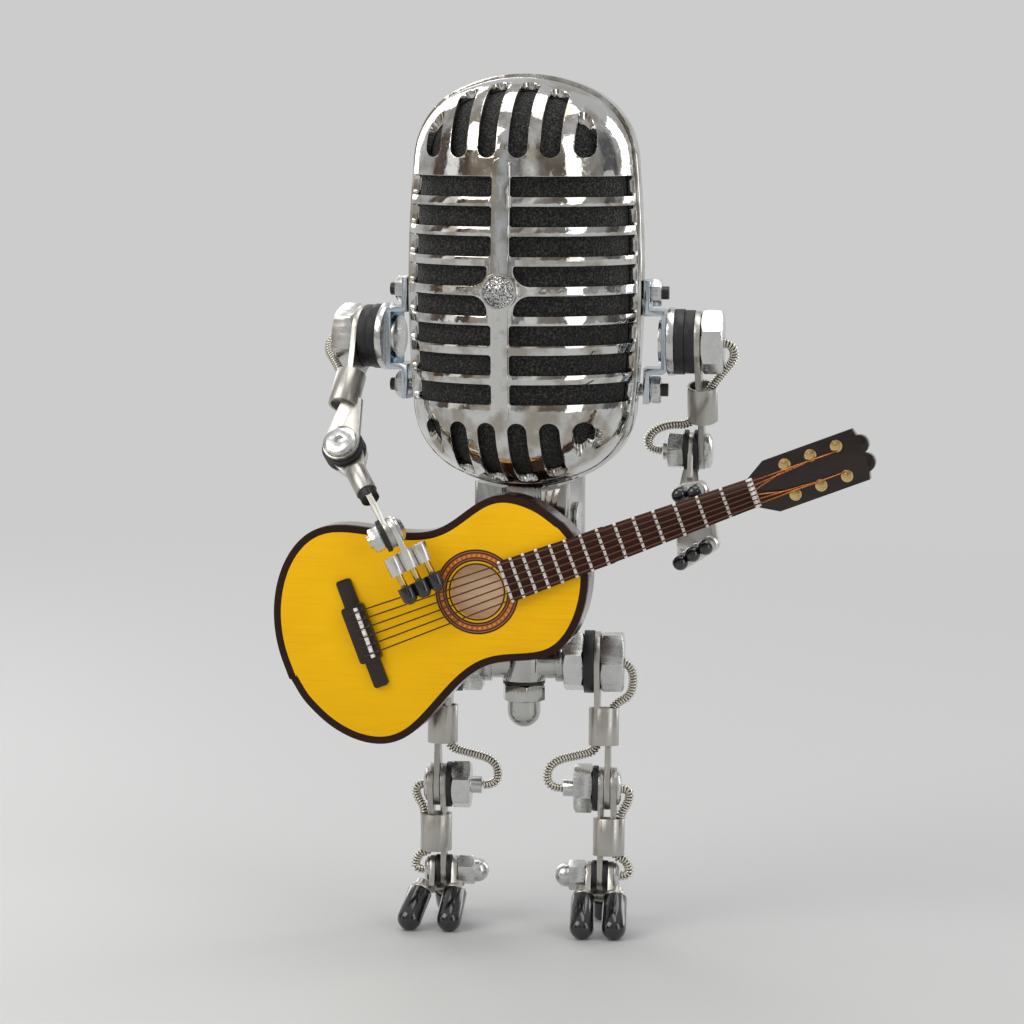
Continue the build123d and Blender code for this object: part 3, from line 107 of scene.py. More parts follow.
look = Vector((-math.sin(azimuth) * math.cos(elevation), math.cos(azimuth) * math.cos(elevation),
               -math.sin(elevation)))
right = Vector((math.cos(azimuth), math.sin(azimuth), 0))
above = right.cross(look)
aside = -(axis_pixel - image_side / 2) * distance / focal_pixels
target = pole + right * aside + up * aim_height
rolled_right = right * math.cos(roll) + above * math.sin(roll)
rolled_above = above * math.cos(roll) - right * math.sin(roll)

camera_data = bpy.data.cameras.new("camera")
camera_data.sensor_width = sensor_width
camera_data.lens = focal_pixels / image_side * sensor_width
camera_data.clip_start = 0.05
camera_data.clip_end = 50.0
camera = bpy.data.objects.new("camera", camera_data)
bpy.context.scene.collection.objects.link(camera)
stand = Matrix((rolled_right, rolled_above, -look)).transposed().to_4x4()
stand.translation = target - look * distance
camera.matrix_world = stand
bpy.context.scene.camera = camera
print("lens:", round(camera_data.lens, 1), "mm")

# %% [markdown]
# ## Lamps
#
# Large soft panels give shape without hard shadows. The key stands high at the front left, a
# weaker fill at the front right, one panel hangs overhead, and two from behind draw a bright line
# along the edges. Small bare lamps would be simpler, but polished metal would show each of them as
# a dot, while it shows a panel as a broad streak.


# %% Lamps
def soft_panel(name, place, aim, width, height, power, colour):
    """A rectangular studio lamp that points at a spot."""
    data = bpy.data.lights.new(name, "AREA")
    data.shape = "RECTANGLE"
    data.size = width
    data.size_y = height
    data.energy = power
    data.color = colour
    lamp = bpy.data.objects.new(name, data)
    bpy.context.scene.collection.objects.link(lamp)
    lamp.location = place
    lamp.rotation_euler = (aim - place).to_track_quat("-Z", "Y").to_euler()


middle = pole + up * 0.13
white = (1, 1, 1)
panels = [                          # name, place from the lamp's middle, width, height, watts, colour
    ("key_panel", (-0.9, -0.9, 0.95), 1.0, 1.0, 9.4, (1.0, 0.985, 0.96)),
    ("fill_panel", (1.1, -0.6, 0.35), 0.4, 1.2, 3.2, (0.98, 0.99, 1.0)),
    ("top_panel", (0.05, 0.15, 1.2), 1.1, 0.9, 6.2, white),
    ("rim_panel", (-0.7, 0.95, 0.5), 0.5, 0.9, 3.6, white),
    ("back_panel", (0.9, 0.9, 0.4), 0.4, 0.9, 3.0, white)]
for name, offset, width, height, power, colour in panels:
    soft_panel(name, middle + Vector(offset), middle, width, height, power, colour)
print("panels:", len(panels))

# %% [markdown]
# ## The room in the mirror
#
# Polished metal shows its surroundings more than itself. In an even white room chrome looks like
# paper, so the world has upright bands round the horizon: the pale backdrop behind the lamp, and in
# front of it dark stretches of workshop with brighter ones between them. A round head squeezes them
# into the long streaks that make metal read as metal. A picture of a real room could be wrapped
# round the scene instead, but a ramp of named tones can be read and changed by hand.

# %% Tones of the room
paper = (0.600, 0.605, 0.598)
even_light = (0.52, 0.52, 0.52)
ceiling_tone = (0.55, 0.55, 0.55)
dark_wall, brown_wall, warm_wall = (0.085, 0.075, 0.07), (0.15, 0.105, 0.08), (0.36, 0.32, 0.27)
window, side_wall, doorway = (1.0, 0.98, 0.95), (0.36, 0.36, 0.34), (0.12, 0.12, 0.125)
room_bands = [                      # direction in degrees from the front, and the tone seen there
    (-180, paper), (-128, (0.55, 0.56, 0.56)), (-100, (0.45, 0.46, 0.46)), (-95, brown_wall),
    (-79, dark_wall), (-76, window), (-63, window), (-60, dark_wall), (-50, brown_wall),
    (-45, warm_wall), (-25, warm_wall), (-19, (0.34, 0.33, 0.31)), (-13, (0.50, 0.52, 0.53)),
    (-4, (0.34, 0.35, 0.36)), (5, (0.17, 0.16, 0.15)), (13, (0.72, 0.72, 0.71)), (19, (0.72, 0.72, 0.71)),
    (26, (0.23, 0.21, 0.19)), (57, (0.20, 0.185, 0.165)), (68, side_wall), (92, side_wall),
    (101, doorway), (116, doorway), (122, (0.50, 0.51, 0.52)), (180, paper)]
print("bands in the room:", len(room_bands))


# %% Node helpers
def link_nodes(owner):
    """Clears a material's or world's node tree and gives back its nodes and a linking function."""
    owner.use_nodes = True
    tree = owner.node_tree
    tree.nodes.clear()
    return tree.nodes, tree.links.new


def tones(tree_nodes, link, source, stops):
    """Colours a value from 0 to 1 with a ramp of (place, colour) stops."""
    ramp = tree_nodes.new("ShaderNodeValToRGB")
    elements = ramp.color_ramp.elements
    while len(elements) < len(stops):
        elements.new(0.5)
    for element, (place, colour) in zip(elements, stops):
        element.position = place
        element.color = (*colour, 1)
    link(source, ramp.inputs[0])
    return ramp.outputs[0]


def remap(tree_nodes, link, source, low, high, start=0.35, end=0.65, smooth=False):
    """Turns a value between start and end into a number between low and high."""
    node = tree_nodes.new("ShaderNodeMapRange")
    if smooth:
        node.interpolation_type = "SMOOTHSTEP"
    node.inputs["From Min"].default_value = start
    node.inputs["From Max"].default_value = end
    node.inputs["To Min"].default_value = low
    node.inputs["To Max"].default_value = high
    link(source, node.inputs["Value"])
    return node.outputs[0]


# %% Directions of the room
world = bpy.data.worlds.new("studio")
bpy.context.scene.world = world
world_nodes, world_link = link_nodes(world)


def world_math(operation, first, second):
    """A Math node of the world that takes a node's output, and another output or a number."""
    node = world_nodes.new("ShaderNodeMath")
    node.operation = operation
    world_link(first, node.inputs[0])
    if isinstance(second, float):
        node.inputs[1].default_value = second
    else:
        world_link(second, node.inputs[1])
    return node.outputs[0]


direction = world_nodes.new("ShaderNodeTexCoord")
split = world_nodes.new("ShaderNodeSeparateXYZ")
world_link(direction.outputs["Generated"], split.inputs[0])
forward = world_math("MULTIPLY", split.outputs["Y"], -1.0)
heading = world_math("ARCTAN2", split.outputs["X"], forward)
round_turn = remap(world_nodes, world_link, heading, 0.0, 1.0, -math.pi, math.pi)
bands = tones(world_nodes, world_link, round_turn,
              [((degrees + 180) / 360, tone) for degrees, tone in room_bands])
ceiling_start, ceiling_end = 0.35, 0.75
rise = remap(world_nodes, world_link, split.outputs["Z"], 0.0, 1.0, ceiling_start, ceiling_end,
             smooth=True)

# %% [markdown]
# ## What each ray sees
#
# The world gives each kind of ray what it should see. The camera and clear plastic see the plain
# backdrop. A mirror sees the same backdrop behind the lamp, and the room's bands elsewhere. All
# other light is even, so that colours render as they are written. One world for all rays would be
# simpler, but then the bands would stand behind the lamp and tint its shadows.


# %% World
def mix_tones(factor, first, second):
    """A mix of two colours, each a plain tone or a node's output."""
    mix = world_nodes.new("ShaderNodeMix")
    mix.data_type = "RGBA"
    world_link(factor, mix.inputs[0])
    for socket, tone in ((mix.inputs[6], first), (mix.inputs[7], second)):
        if isinstance(tone, tuple):
            socket.default_value = (*tone, 1)
        else:
            world_link(tone, socket)
    return mix.outputs[2]


room_tone = mix_tones(rise, bands, ceiling_tone)
ray = world_nodes.new("ShaderNodeLightPath")
backdrop = world_nodes.new("ShaderNodeBackground")
world_link(mix_tones(ray.outputs["Is Glossy Ray"], paper, room_tone), backdrop.inputs["Color"])
even = world_nodes.new("ShaderNodeBackground")
even.inputs["Color"].default_value = (*even_light, 1)
seen = world_math("MAXIMUM", ray.outputs["Is Camera Ray"], ray.outputs["Is Glossy Ray"])
seen = world_math("MAXIMUM", seen, ray.outputs["Is Transmission Ray"])
world_mix = world_nodes.new("ShaderNodeMixShader")
world_out = world_nodes.new("ShaderNodeOutputWorld")
world_link(seen, world_mix.inputs[0])
world_link(even.outputs[0], world_mix.inputs[1])
world_link(backdrop.outputs[0], world_mix.inputs[2])
world_link(world_mix.outputs[0], world_out.inputs[0])
bpy.context.scene.view_settings.view_transform = "Standard"
print("nodes in the world:", len(world_nodes))

# %% [markdown]
# ## Floor
#
# A sheet of pale paper carries the lamp and its shadow. A studio bends such a sheet up behind the
# object, so that no horizon shows. Here the sheet stays flat, and with distance its material fades
# into a plain glow of the backdrop's colour, which hides the horizon from every side.

# %% Floor
floor_radius = 3.0
fade_start, fade_end = 0.12, 1.1


def floor_finish():
    """Pale paper near the lamp that fades into the background with distance."""
    material = bpy.data.materials.new("floor_paper")
    tree_nodes, link = link_nodes(material)
    place = tree_nodes.new("ShaderNodeTexCoord")
    length = tree_nodes.new("ShaderNodeVectorMath")
    length.operation = "LENGTH"
    link(place.outputs["Object"], length.inputs[0])
    fade = remap(tree_nodes, link, length.outputs["Value"], 0.0, 1.0, fade_start, fade_end, smooth=True)
    sheet = tree_nodes.new("ShaderNodeBsdfPrincipled")
    sheet.inputs["Base Color"].default_value = (0.52, 0.525, 0.52, 1)
    sheet.inputs["Roughness"].default_value = 0.55
    sheet.inputs["Specular IOR Level"].default_value = 0.25
    glow = tree_nodes.new("ShaderNodeEmission")
    glow.inputs["Color"].default_value = (*paper, 1)
    mix = tree_nodes.new("ShaderNodeMixShader")
    out = tree_nodes.new("ShaderNodeOutputMaterial")
    link(fade, mix.inputs[0])
    link(sheet.outputs[0], mix.inputs[1])
    link(glow.outputs[0], mix.inputs[2])
    link(mix.outputs[0], out.inputs[0])
    return material


bpy.ops.mesh.primitive_circle_add(vertices=96, radius=floor_radius, fill_type="NGON", location=pole)
floor = bpy.context.object
floor.name = "floor"
floor.data.materials.append(floor_finish())
floor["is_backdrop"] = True
print("the floor fades out", fade_end, "m from the lamp")

# %% [markdown]
# ## Finishes
#
# Every finish starts from the same shader, Principled, and differs in three ways: how metallic it
# is, how rough it is, and what small irregularities it has. Nothing real is perfectly even, so the
# roughness of each finish varies a little with a noise texture, and a faint bump bends its
# reflections. The textures read Object coordinates, so they stay fixed to the piece when it moves.


# %% Finish helpers
def finish_base(name, colour, metallic, roughness):
    """A Principled material with its nodes, its linking function and its shader."""
    material = bpy.data.materials.new(name)
    tree_nodes, link = link_nodes(material)
    shader = tree_nodes.new("ShaderNodeBsdfPrincipled")
    out = tree_nodes.new("ShaderNodeOutputMaterial")
    link(shader.outputs[0], out.inputs[0])
    shader.inputs["Base Color"].default_value = (*colour, 1)
    shader.inputs["Metallic"].default_value = metallic
    shader.inputs["Roughness"].default_value = roughness
    material.diffuse_color = (*colour, 1)
    return material, tree_nodes, link, shader


def noise(tree_nodes, link, scale, detail=3.0, stretch=(1, 1, 1), turn=0.0):
    """A noise texture in the piece's own coordinates, optionally stretched along an axis."""
    place = tree_nodes.new("ShaderNodeTexCoord")
    mapping = tree_nodes.new("ShaderNodeMapping")
    mapping.inputs["Rotation"].default_value = (0, turn, 0)
    mapping.inputs["Scale"].default_value = stretch
    texture = tree_nodes.new("ShaderNodeTexNoise")
    texture.inputs["Scale"].default_value = scale
    texture.inputs["Detail"].default_value = detail
    link(place.outputs["Object"], mapping.inputs["Vector"])
    link(mapping.outputs[0], texture.inputs["Vector"])
    return texture.outputs[0]


def bump(tree_nodes, link, shader, source, height, strength=0.3):
    """Bends the surface's light by a texture, height in metres."""
    node = tree_nodes.new("ShaderNodeBump")
    node.inputs["Distance"].default_value = height
    node.inputs["Strength"].default_value = strength
    link(source, node.inputs["Height"])
    link(node.outputs[0], shader.inputs["Normal"])


# %% [markdown]
# ## Chrome, steel, nickel and zinc
#
# The head is a chromed casting: the plating is a mirror, but the rough casting under it makes the
# mirror wavy, its colour drifts into brownish clouds, and years of handling leave dull specks. The
# bolts are zinc-plated steel, the lugs are nickel and the brackets have the blue cast of fresh zinc.
# One metal for all of them would be quicker, but the small differences in colour and polish are what
# tells bought parts from cast ones.


# %% Metal finishes
def cast_chrome():
    """Chrome over a casting: a wavy mirror with brownish clouds and dull specks."""
    bright, brown_cloud_tone = (0.68, 0.675, 0.66), (0.42, 0.385, 0.335)
    material, tree_nodes, link, shader = finish_base("cast_chrome", bright, 1.0, 0.08)
    cloud = noise(tree_nodes, link, 120, 5.0)
    link(tones(tree_nodes, link, cloud, [(0.38, brown_cloud_tone), (0.54, bright)]), shader.inputs["Base Color"])
    speck = noise(tree_nodes, link, 700)
    link(remap(tree_nodes, link, speck, 0.05, 0.24, 0.5, 0.7), shader.inputs["Roughness"])
    bump(tree_nodes, link, shader, noise(tree_nodes, link, 170), 0.0003)
    return material


def plated(name, colour, low, high, scale, height=0.00001, shade=0.93, strength=0.3):
    """A plated metal: roughness drifts between low and high, with a faint waviness."""
    material, tree_nodes, link, shader = finish_base(name, colour, 1.0, low)
    cloud = noise(tree_nodes, link, scale)
    link(remap(tree_nodes, link, cloud, low, high), shader.inputs["Roughness"])
    # The dull tone drifts at random, and on the tube chrome it is also a painted dark reflection.
    dull_and_painted_reflection = tuple(shade * part for part in colour)
    link(tones(tree_nodes, link, cloud, [(0.3, dull_and_painted_reflection), (0.6, colour)]), shader.inputs["Base Color"])
    bump(tree_nodes, link, shader, noise(tree_nodes, link, scale * 2.2, 5.0), height, strength)
    return material


chrome = cast_chrome()
# The tube chrome's low colour and dull mottling are painted reflection: the dark streaks that the room shows
# in the tubes.
tube_chrome = plated("tube_chrome", (0.54, 0.535, 0.52), 0.08, 0.16, 90, 0.00006, 0.75)
zinc_blue = plated("zinc_blue", (0.60, 0.655, 0.71), 0.14, 0.26, 240, 0.00003, 0.9)
# The deeper blue zinc is a painted reflection: the blue seen on the inner walls of the brackets.
zinc_painted_reflection = plated("zinc_painted_reflection", (0.16, 0.30, 0.42), 0.16, 0.28, 240, 0.00003, 0.7)
bolt_steel = plated("bolt_steel", (0.70, 0.70, 0.69), 0.22, 0.30, 300, shade=0.88, strength=0.04)
nickel = plated("nickel", (0.52, 0.505, 0.465), 0.30, 0.40, 420, shade=0.95, strength=0.05)
tin = plated("tin", (0.76, 0.75, 0.72), 0.27, 0.35, 420, shade=0.92, strength=0.05)
spring_steel = plated("spring_steel", (0.70, 0.67, 0.60), 0.10, 0.20, 700)
brass = plated("brass", (0.74, 0.53, 0.23), 0.16, 0.28, 500, shade=0.85)
print("materials with the metals:", len(bpy.data.materials))

# %% [markdown]
# ## Rubber and plastic
#
# The washers are dull black rubber, and the caps on fingers and toes are soft plastic with a shine.
# Both are nearly black, so their look lies in the highlights: a fine grain breaks them up, and dust
# lifts the colour in patches. The caps also get a coat, the clear layer of the Principled shader,
# for the sharp highlight that rubber lacks.


# %% Rubber and plastic
def dark_rubber(name, colour, low, high, grain, coat=0.0):
    """Black rubber or soft plastic with a fine grain and dusty patches."""
    material, tree_nodes, link, shader = finish_base(name, colour, 0.0, low)
    dust = noise(tree_nodes, link, 220, 4.0)
    link(remap(tree_nodes, link, dust, low, high), shader.inputs["Roughness"])
    pale = tuple(part * 1.5 + 0.002 for part in colour)
    link(tones(tree_nodes, link, dust, [(0.35, colour), (0.75, pale)]), shader.inputs["Base Color"])
    bump(tree_nodes, link, shader, noise(tree_nodes, link, 2600, 2.0), grain)
    shader.inputs["Coat Weight"].default_value = coat
    shader.inputs["Coat Roughness"].default_value = 0.08
    return material


rubber = dark_rubber("rubber", (0.010, 0.010, 0.011), 0.38, 0.60, 0.00002)
cap_plastic = dark_rubber("cap_plastic", (0.005, 0.005, 0.006), 0.10, 0.22, 0.00001, 0.8)
print("materials with the rubber:", len(bpy.data.materials))

# %% [markdown]
# ## Wood
#
# The guitar's top is a pale softwood under a strong yellow varnish, and its neck, sides and edge
# are dark. The grain runs along the neck, so the noise is stretched along the guitar's length: the
# mapping is turned to the angle at which the guitar is held. Dark woods get a low specular level,
# because a pale studio would otherwise turn them grey.

# %% Guitar directions
guitar_angle = math.radians(21.2)
neck_dir = Vector((math.cos(guitar_angle), 0, math.sin(guitar_angle)))
cross_dir = Vector((-math.sin(guitar_angle), 0, math.cos(guitar_angle)))
guitar_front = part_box("soundboard")[0].y
sound_hole = pole + Vector((-8.9 * mm, 0, 104.9 * mm))
sound_hole.y = guitar_front
print("guitar face at y =", round(guitar_front / mm, 2), "mm")


def on_guitar(along, across, height):
    """A point on the guitar in millimetres: along the neck, across it and above the face."""
    return sound_hole + (neck_dir * along + cross_dir * across - Vector((0, height, 0))) * mm


# %% Wood finishes
def wood(name, stops, low, high, coat, shine=0.3, scale=900, height=0.00003):
    """Varnished wood with grain along the guitar's neck."""
    material, tree_nodes, link, shader = finish_base(name, stops[-1][1], 0.0, low)
    grain = noise(tree_nodes, link, scale, 5.0, (0.05, 1, 1), guitar_angle)
    cloud = noise(tree_nodes, link, 30, 2.0)
    blend = tree_nodes.new("ShaderNodeMix")
    blend.inputs[0].default_value = 0.45
    link(grain, blend.inputs[2])
    link(cloud, blend.inputs[3])
    link(tones(tree_nodes, link, blend.outputs[0], stops), shader.inputs["Base Color"])
    link(remap(tree_nodes, link, cloud, low, high), shader.inputs["Roughness"])
    bump(tree_nodes, link, shader, grain, height, 0.25)
    shader.inputs["Coat Weight"].default_value = coat
    shader.inputs["Coat Roughness"].default_value = 0.12
    shader.inputs["Specular IOR Level"].default_value = shine
    return material


amber_top = wood("amber_top", [(0.30, (0.94, 0.45, 0.002)), (0.50, (0.99, 0.53, 0.003)),
                               (0.70, (1.0, 0.565, 0.004))], 0.45, 0.58, 0.04, 0.12, 1500, 0.00002)
brown_sides = wood("brown_sides", [(0.3, (0.035, 0.010, 0.006)), (0.7, (0.10, 0.035, 0.018))],
                   0.16, 0.30, 0.8)
dark_edge = wood("dark_edge", [(0.3, (0.014, 0.005, 0.004)), (0.7, (0.036, 0.013, 0.008))],
                 0.36, 0.50, 0.08, 0.15)
board_wood = wood("board_wood", [(0.3, (0.026, 0.007, 0.006)), (0.7, (0.070, 0.020, 0.015))],
                  0.36, 0.50, 0.05, 0.15)
black_wood = wood("black_wood", [(0.3, (0.008, 0.005, 0.004)), (0.7, (0.022, 0.011, 0.008))],
                  0.14, 0.28, 0.35)
# The pale wood in the hollow under the sound hole is raised above its own tone as painted light, against the
# shade of the hollow.
inner_wood_painted_light = wood("inner_wood_painted_light", [(0.3, (0.78, 0.55, 0.36)), (0.7, (0.92, 0.72, 0.52))], 0.5, 0.7, 0.0)
print("materials with the woods:", len(bpy.data.materials))


# %% [markdown]
# ## Small finishes
#
# Frets, strings, lamp holder, bulb and inlay are small and plain, so they share one function, in
# which only the colour and the polish change. The badge is a disc of hammered silver: a Voronoi
# texture splits its face into cells like the dents of a round hammer, and a second noise leaves
# dark grime in places, as old silver has. Modelled dents would be finer than the eye can see here.


# %% Small finishes
def plain(name, colour, metallic, low, high):
    """An even finish whose roughness and colour still drift a little."""
    material, tree_nodes, link, shader = finish_base(name, colour, metallic, low)
    cloud = noise(tree_nodes, link, 400)
    link(remap(tree_nodes, link, cloud, low, high), shader.inputs["Roughness"])
    shade = tuple(0.8 * part for part in colour)
    link(tones(tree_nodes, link, cloud, [(0.3, shade), (0.65, colour)]), shader.inputs["Base Color"])
    bump(tree_nodes, link, shader, cloud, 0.00001)
    return material


ivory = plain("ivory", (0.98, 0.92, 0.89), 0.0, 0.30, 0.45)
string_bronze = plain("string_bronze", (0.13, 0.065, 0.03), 0.5, 0.40, 0.55)
string_copper = plain("string_copper", (0.62, 0.22, 0.07), 0.9, 0.25, 0.40)
white_plastic = plain("white_plastic", (0.80, 0.79, 0.76), 0.0, 0.35, 0.50)
bulb_glass = plain("bulb_glass", (0.86, 0.85, 0.80), 0.0, 0.20, 0.35)
stud_black = plain("stud_black", (0.012, 0.012, 0.013), 0.0, 0.30, 0.50)
rosette_orange = plain("rosette_orange", (0.52, 0.13, 0.012), 0.0, 0.35, 0.50)
rosette_black = plain("rosette_black", (0.018, 0.008, 0.006), 0.0, 0.35, 0.50)
rosette_pale = plain("rosette_pale", (0.80, 0.36, 0.06), 0.0, 0.35, 0.50)
print("materials with the small finishes:", len(bpy.data.materials))


# %% Badge
def hammered():
    """Hammered silver for the plain badge: cells of a Voronoi texture pushed in and out."""
    silver, grime_tone = (0.66, 0.66, 0.65), (0.10, 0.10, 0.11)
    material, tree_nodes, link, shader = finish_base("hammered_silver", silver, 1.0, 0.18)
    place = tree_nodes.new("ShaderNodeTexCoord")
    cells = tree_nodes.new("ShaderNodeTexVoronoi")
    cells.inputs["Scale"].default_value = 1300
    link(place.outputs["Object"], cells.inputs["Vector"])
    dents = cells.outputs["Distance"]
    grime = noise(tree_nodes, link, 1800, 4.0)
    link(tones(tree_nodes, link, grime, [(0.40, grime_tone), (0.54, silver)]), shader.inputs["Base Color"])
    bump(tree_nodes, link, shader, dents, 0.0003, 0.8)
    link(remap(tree_nodes, link, dents, 0.12, 0.35, 0.0, 0.8), shader.inputs["Roughness"])
    return material


badge_silver = hammered()

# %% [markdown]
# ## Foam behind the slots
#
# Foam isn't smooth: it is a web of tiny open cells. The liner is a solid shell, so its finish makes
# the cells: a fine noise paints shade into the pits and paints glints on a few warm and pale fibres.
# Thousands of real cells would cost far more than they show through slots this narrow.


# %% Foam
def foam_finish():
    """Black open-cell foam, with painted shade in its pits and painted warm and pale glints on a few fibres.
    """
    material, tree_nodes, link, shader = finish_base("foam", (0.02, 0.02, 0.02), 0.0, 0.9)
    cells = noise(tree_nodes, link, 1500, 4.0)
    # Painted shade in the pits, the foam's own near-black, and painted warm glints on a few fibres.
    link(tones(tree_nodes, link, cells, [
        (0.40, (0.004, 0.004, 0.005)), (0.55, (0.016, 0.016, 0.015)), (0.66, (0.055, 0.048, 0.036))]),
        shader.inputs["Base Color"])
    link(remap(tree_nodes, link, cells, 0.95, 0.6), shader.inputs["Roughness"])
    bump(tree_nodes, link, shader, cells, 0.0008, 0.9)
    return material


foam = foam_finish()
print("materials in all:", len(bpy.data.materials))

# %% [markdown]
# ## Dressing the solids
#
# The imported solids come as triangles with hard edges. Real bolts, lugs and castings have edges
# that are slightly broken, and that thin rounded line is what catches the light. Each node first
# gets smooth shading, then its doubled corners welded, then a small bevel on its sharp edges.
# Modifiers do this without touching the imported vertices, so the part keeps its size.

# %% Dress a node
weld_reach = 0.002
sharp_angle = math.radians(32)
edge_width = 0.12
edge_widths = {bolt_steel: 0.3}
unbevelled = {"guitar_strings", "frets", "led_bulb", "badge_plate", "foam_liner"}


def dress(name, material):
    """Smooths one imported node, rounds its sharp edges and gives it its finish."""
    piece = nodes[name]
    piece.data.materials.clear()
    piece.data.materials.append(material)
    for polygon in piece.data.polygons:
        polygon.use_smooth = True
    weld = piece.modifiers.new("weld", "WELD")
    weld.merge_threshold = weld_reach * mm
    if name not in unbevelled:
        rounding = piece.modifiers.new("rounding", "BEVEL")
        rounding.width = edge_widths.get(material, edge_width) * mm
        rounding.segments = 2
        rounding.limit_method = "ANGLE"
        rounding.angle_limit = sharp_angle
        rounding.harden_normals = True
        rounding.use_clamp_overlap = True


# %% Every node and its finish
finishes = {
    chrome: ["front_grille", "rear_grille", "seam_band"],
    tube_chrome: ["swivel_tongue", "torso_pole", "hip_tee", "acorn_nut", "swivel_base"],
    zinc_blue: ["shoulder_brackets"],
    bolt_steel: ["bracket_screws", "shoulder_bolts", "hip_bolts", "swivel_screw", "guitar_screw"],
    rubber: ["shoulder_washers", "hip_washers", "cable_gland"],
    badge_silver: ["badge_plate"],
    white_plastic: ["lamp_socket"],
    bulb_glass: ["led_bulb"],
    foam: ["foam_liner"],
    amber_top: ["soundboard"],
    dark_edge: ["guitar_binding"],
    brown_sides: ["guitar_body", "guitar_neck"],
    board_wood: ["fretboard"],
    ivory: ["frets"],
    black_wood: ["bridge"],
    brass: ["tuning_pegs"],
    string_bronze: ["guitar_strings"],
    nickel: [],
    tin: [],
    cap_plastic: [],
}
for side in sides:
    finishes[nickel] += [limb + side for limb in ("upper_arm_", "forearm_", "thigh_", "shin_", "foot_")]
    finishes[tin] += ["hand_" + side]
    finishes[bolt_steel] += ["forearm_" + side + "_bolts", "shin_" + side + "_bolts"]
    finishes[rubber] += ["forearm_" + side + "_washers", "shin_" + side + "_washers"]
    finishes[cap_plastic] += ["fingertips_" + side, "toe_caps_" + side]
for material, names in finishes.items():
    for name in names:
        dress(name, material)
print("dressed nodes:", sum(len(names) for names in finishes.values()))

# %% [markdown]
# ## Two finishes on one piece
#
# Some solids are one piece here but show two materials: a black sleeve on a metal lug, a painted
# headstock on a varnished neck. A second material on chosen faces does this without cutting the
# solid. The faces are picked by a test on their middle and direction, so the choice holds when the
# mesh is made anew.


# %% Paint part of a node
def paint(name, material, inside):
    """Gives a second finish to the faces whose middle and direction pass a test."""
    piece = nodes[name]
    piece.data.materials.append(material)
    index = len(piece.data.materials) - 1
    painted = [face for face in piece.data.polygons if inside(face.center, face.normal)]
    for face in painted:
        face.material_index = index
    print(name, "takes", material.name, "on", len(painted), "faces")


def square_to(direction, axis):
    """The part of a direction that stands at right angles to an axis, one unit long."""
    return (direction - axis * direction.dot(axis)).normalized()


# %% Painted parts of the guitar
board_end = 88.0
headstock_start = board_end - 0.5
copper_start = board_end + 1.6
recess_radius = 11.7
recess_top, recess_floor = 1.6, 5.2


def along_neck(point):
    """How far along the guitar's neck a point lies, in millimetres from the sound hole."""
    return (point - sound_hole).dot(neck_dir) / mm


def in_recess(point, normal):
    """Tells whether a point lies on the walls or floor of the hollow under the sound hole."""
    offset = (point - sound_hole) / mm
    return math.hypot(offset.x, offset.z) < recess_radius and recess_top < offset.y < recess_floor


paint("guitar_neck", black_wood, lambda point, normal: along_neck(point) > headstock_start)
paint("guitar_strings", string_copper, lambda point, normal: along_neck(point) > copper_start)
paint("guitar_body", inner_wood_painted_light, in_recess)

# %% Painted parts of the right arm
elbow, wrist = (Vector(joints[name]["pos_m"]) for name in ("elbow_right", "wrist_right"))
elbow_axis, wrist_axis = (Vector(joints[name]["axis"]).normalized()
                          for name in ("elbow_right", "wrist_right"))
fore_down = square_to(wrist - elbow, elbow_axis)
finger_dir = square_to(Vector((0.46, 0.05, -0.88)), wrist_axis)
sleeve_start, sleeve_end = 18.02, 21.05
pin_start = 12.25
paint("forearm_right", rubber,
      lambda point, normal: sleeve_start < (point - elbow).dot(fore_down) / mm < sleeve_end)
paint("hand_right", brass, lambda point, normal: (point - wrist).dot(finger_dir) / mm > pin_start)

# %% Painted parts of the shoulders
stud_end, bracket_inside = 41.0, 37.8
mostly_sideways = 0.8


def faces_the_head(point, normal):
    """Tells whether a face is on the inside of a bracket's outer wall."""
    out = (point.x - pole.x) / mm
    return abs(out) > bracket_inside and normal.x * out < 0 and abs(normal.x) > mostly_sideways


paint("bracket_screws", stud_black, lambda point, normal: abs(point.x - pole.x) / mm > stud_end)
# The inner walls of the brackets take the deeper blue zinc as a painted reflection.
paint("shoulder_brackets", zinc_painted_reflection, faces_the_head)

# %% [markdown]
# ## Springs over the cables
#
# Each limb's cable runs inside a wound spring. The solid model has a plain tube there, and here it
# is replaced by a real coil. A striped texture on the tube would be lighter, but a coil's outline
# is wavy and it lets the dark cable show between its turns. The route is a smooth spline through a
# few points. The wire then circles round it: at each step the radius turns a little, and a frame of
# two directions is carried along the route so that the coil doesn't twist where the route bends.


# %% Rings and tubes
def ring(mesh, centre, first, second, count):
    """A ring of vertices round a centre, in the plane of two directions as long as its radius."""
    return [mesh.verts.new(centre + first * math.cos(turn) + second * math.sin(turn))
            for turn in (2 * math.pi * k / count for k in range(count))]


def join_rings(mesh, rings, index, smooth=True):
    """Joins each ring of vertices to the next with faces."""
    for first, second in zip(rings, rings[1:]):
        for k in range(len(first)):
            face = mesh.faces.new((first[k - 1], first[k], second[k], second[k - 1]))
            face.material_index = index
            face.smooth = smooth


def tube(mesh, rings, index):
    """Joins rings into a tube and closes its ends."""
    join_rings(mesh, rings, index)
    for cap in (rings[0], rings[-1][::-1]):
        mesh.faces.new(cap).material_index = index


def as_piece(mesh, name, materials, body, replaced=()):
    """Turns a bmesh into an object with its finishes that rides on a body."""
    bmesh.ops.recalc_face_normals(mesh, faces=mesh.faces)
    data = bpy.data.meshes.new(name)
    mesh.to_mesh(data)
    mesh.free()
    for material in materials:
        data.materials.append(material)
    piece = bpy.data.objects.new(name, data)
    bpy.context.scene.collection.objects.link(piece)
    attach(piece, body)
    if replaced:
        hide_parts(*replaced)
    print(name, "has", len(data.polygons), "faces")


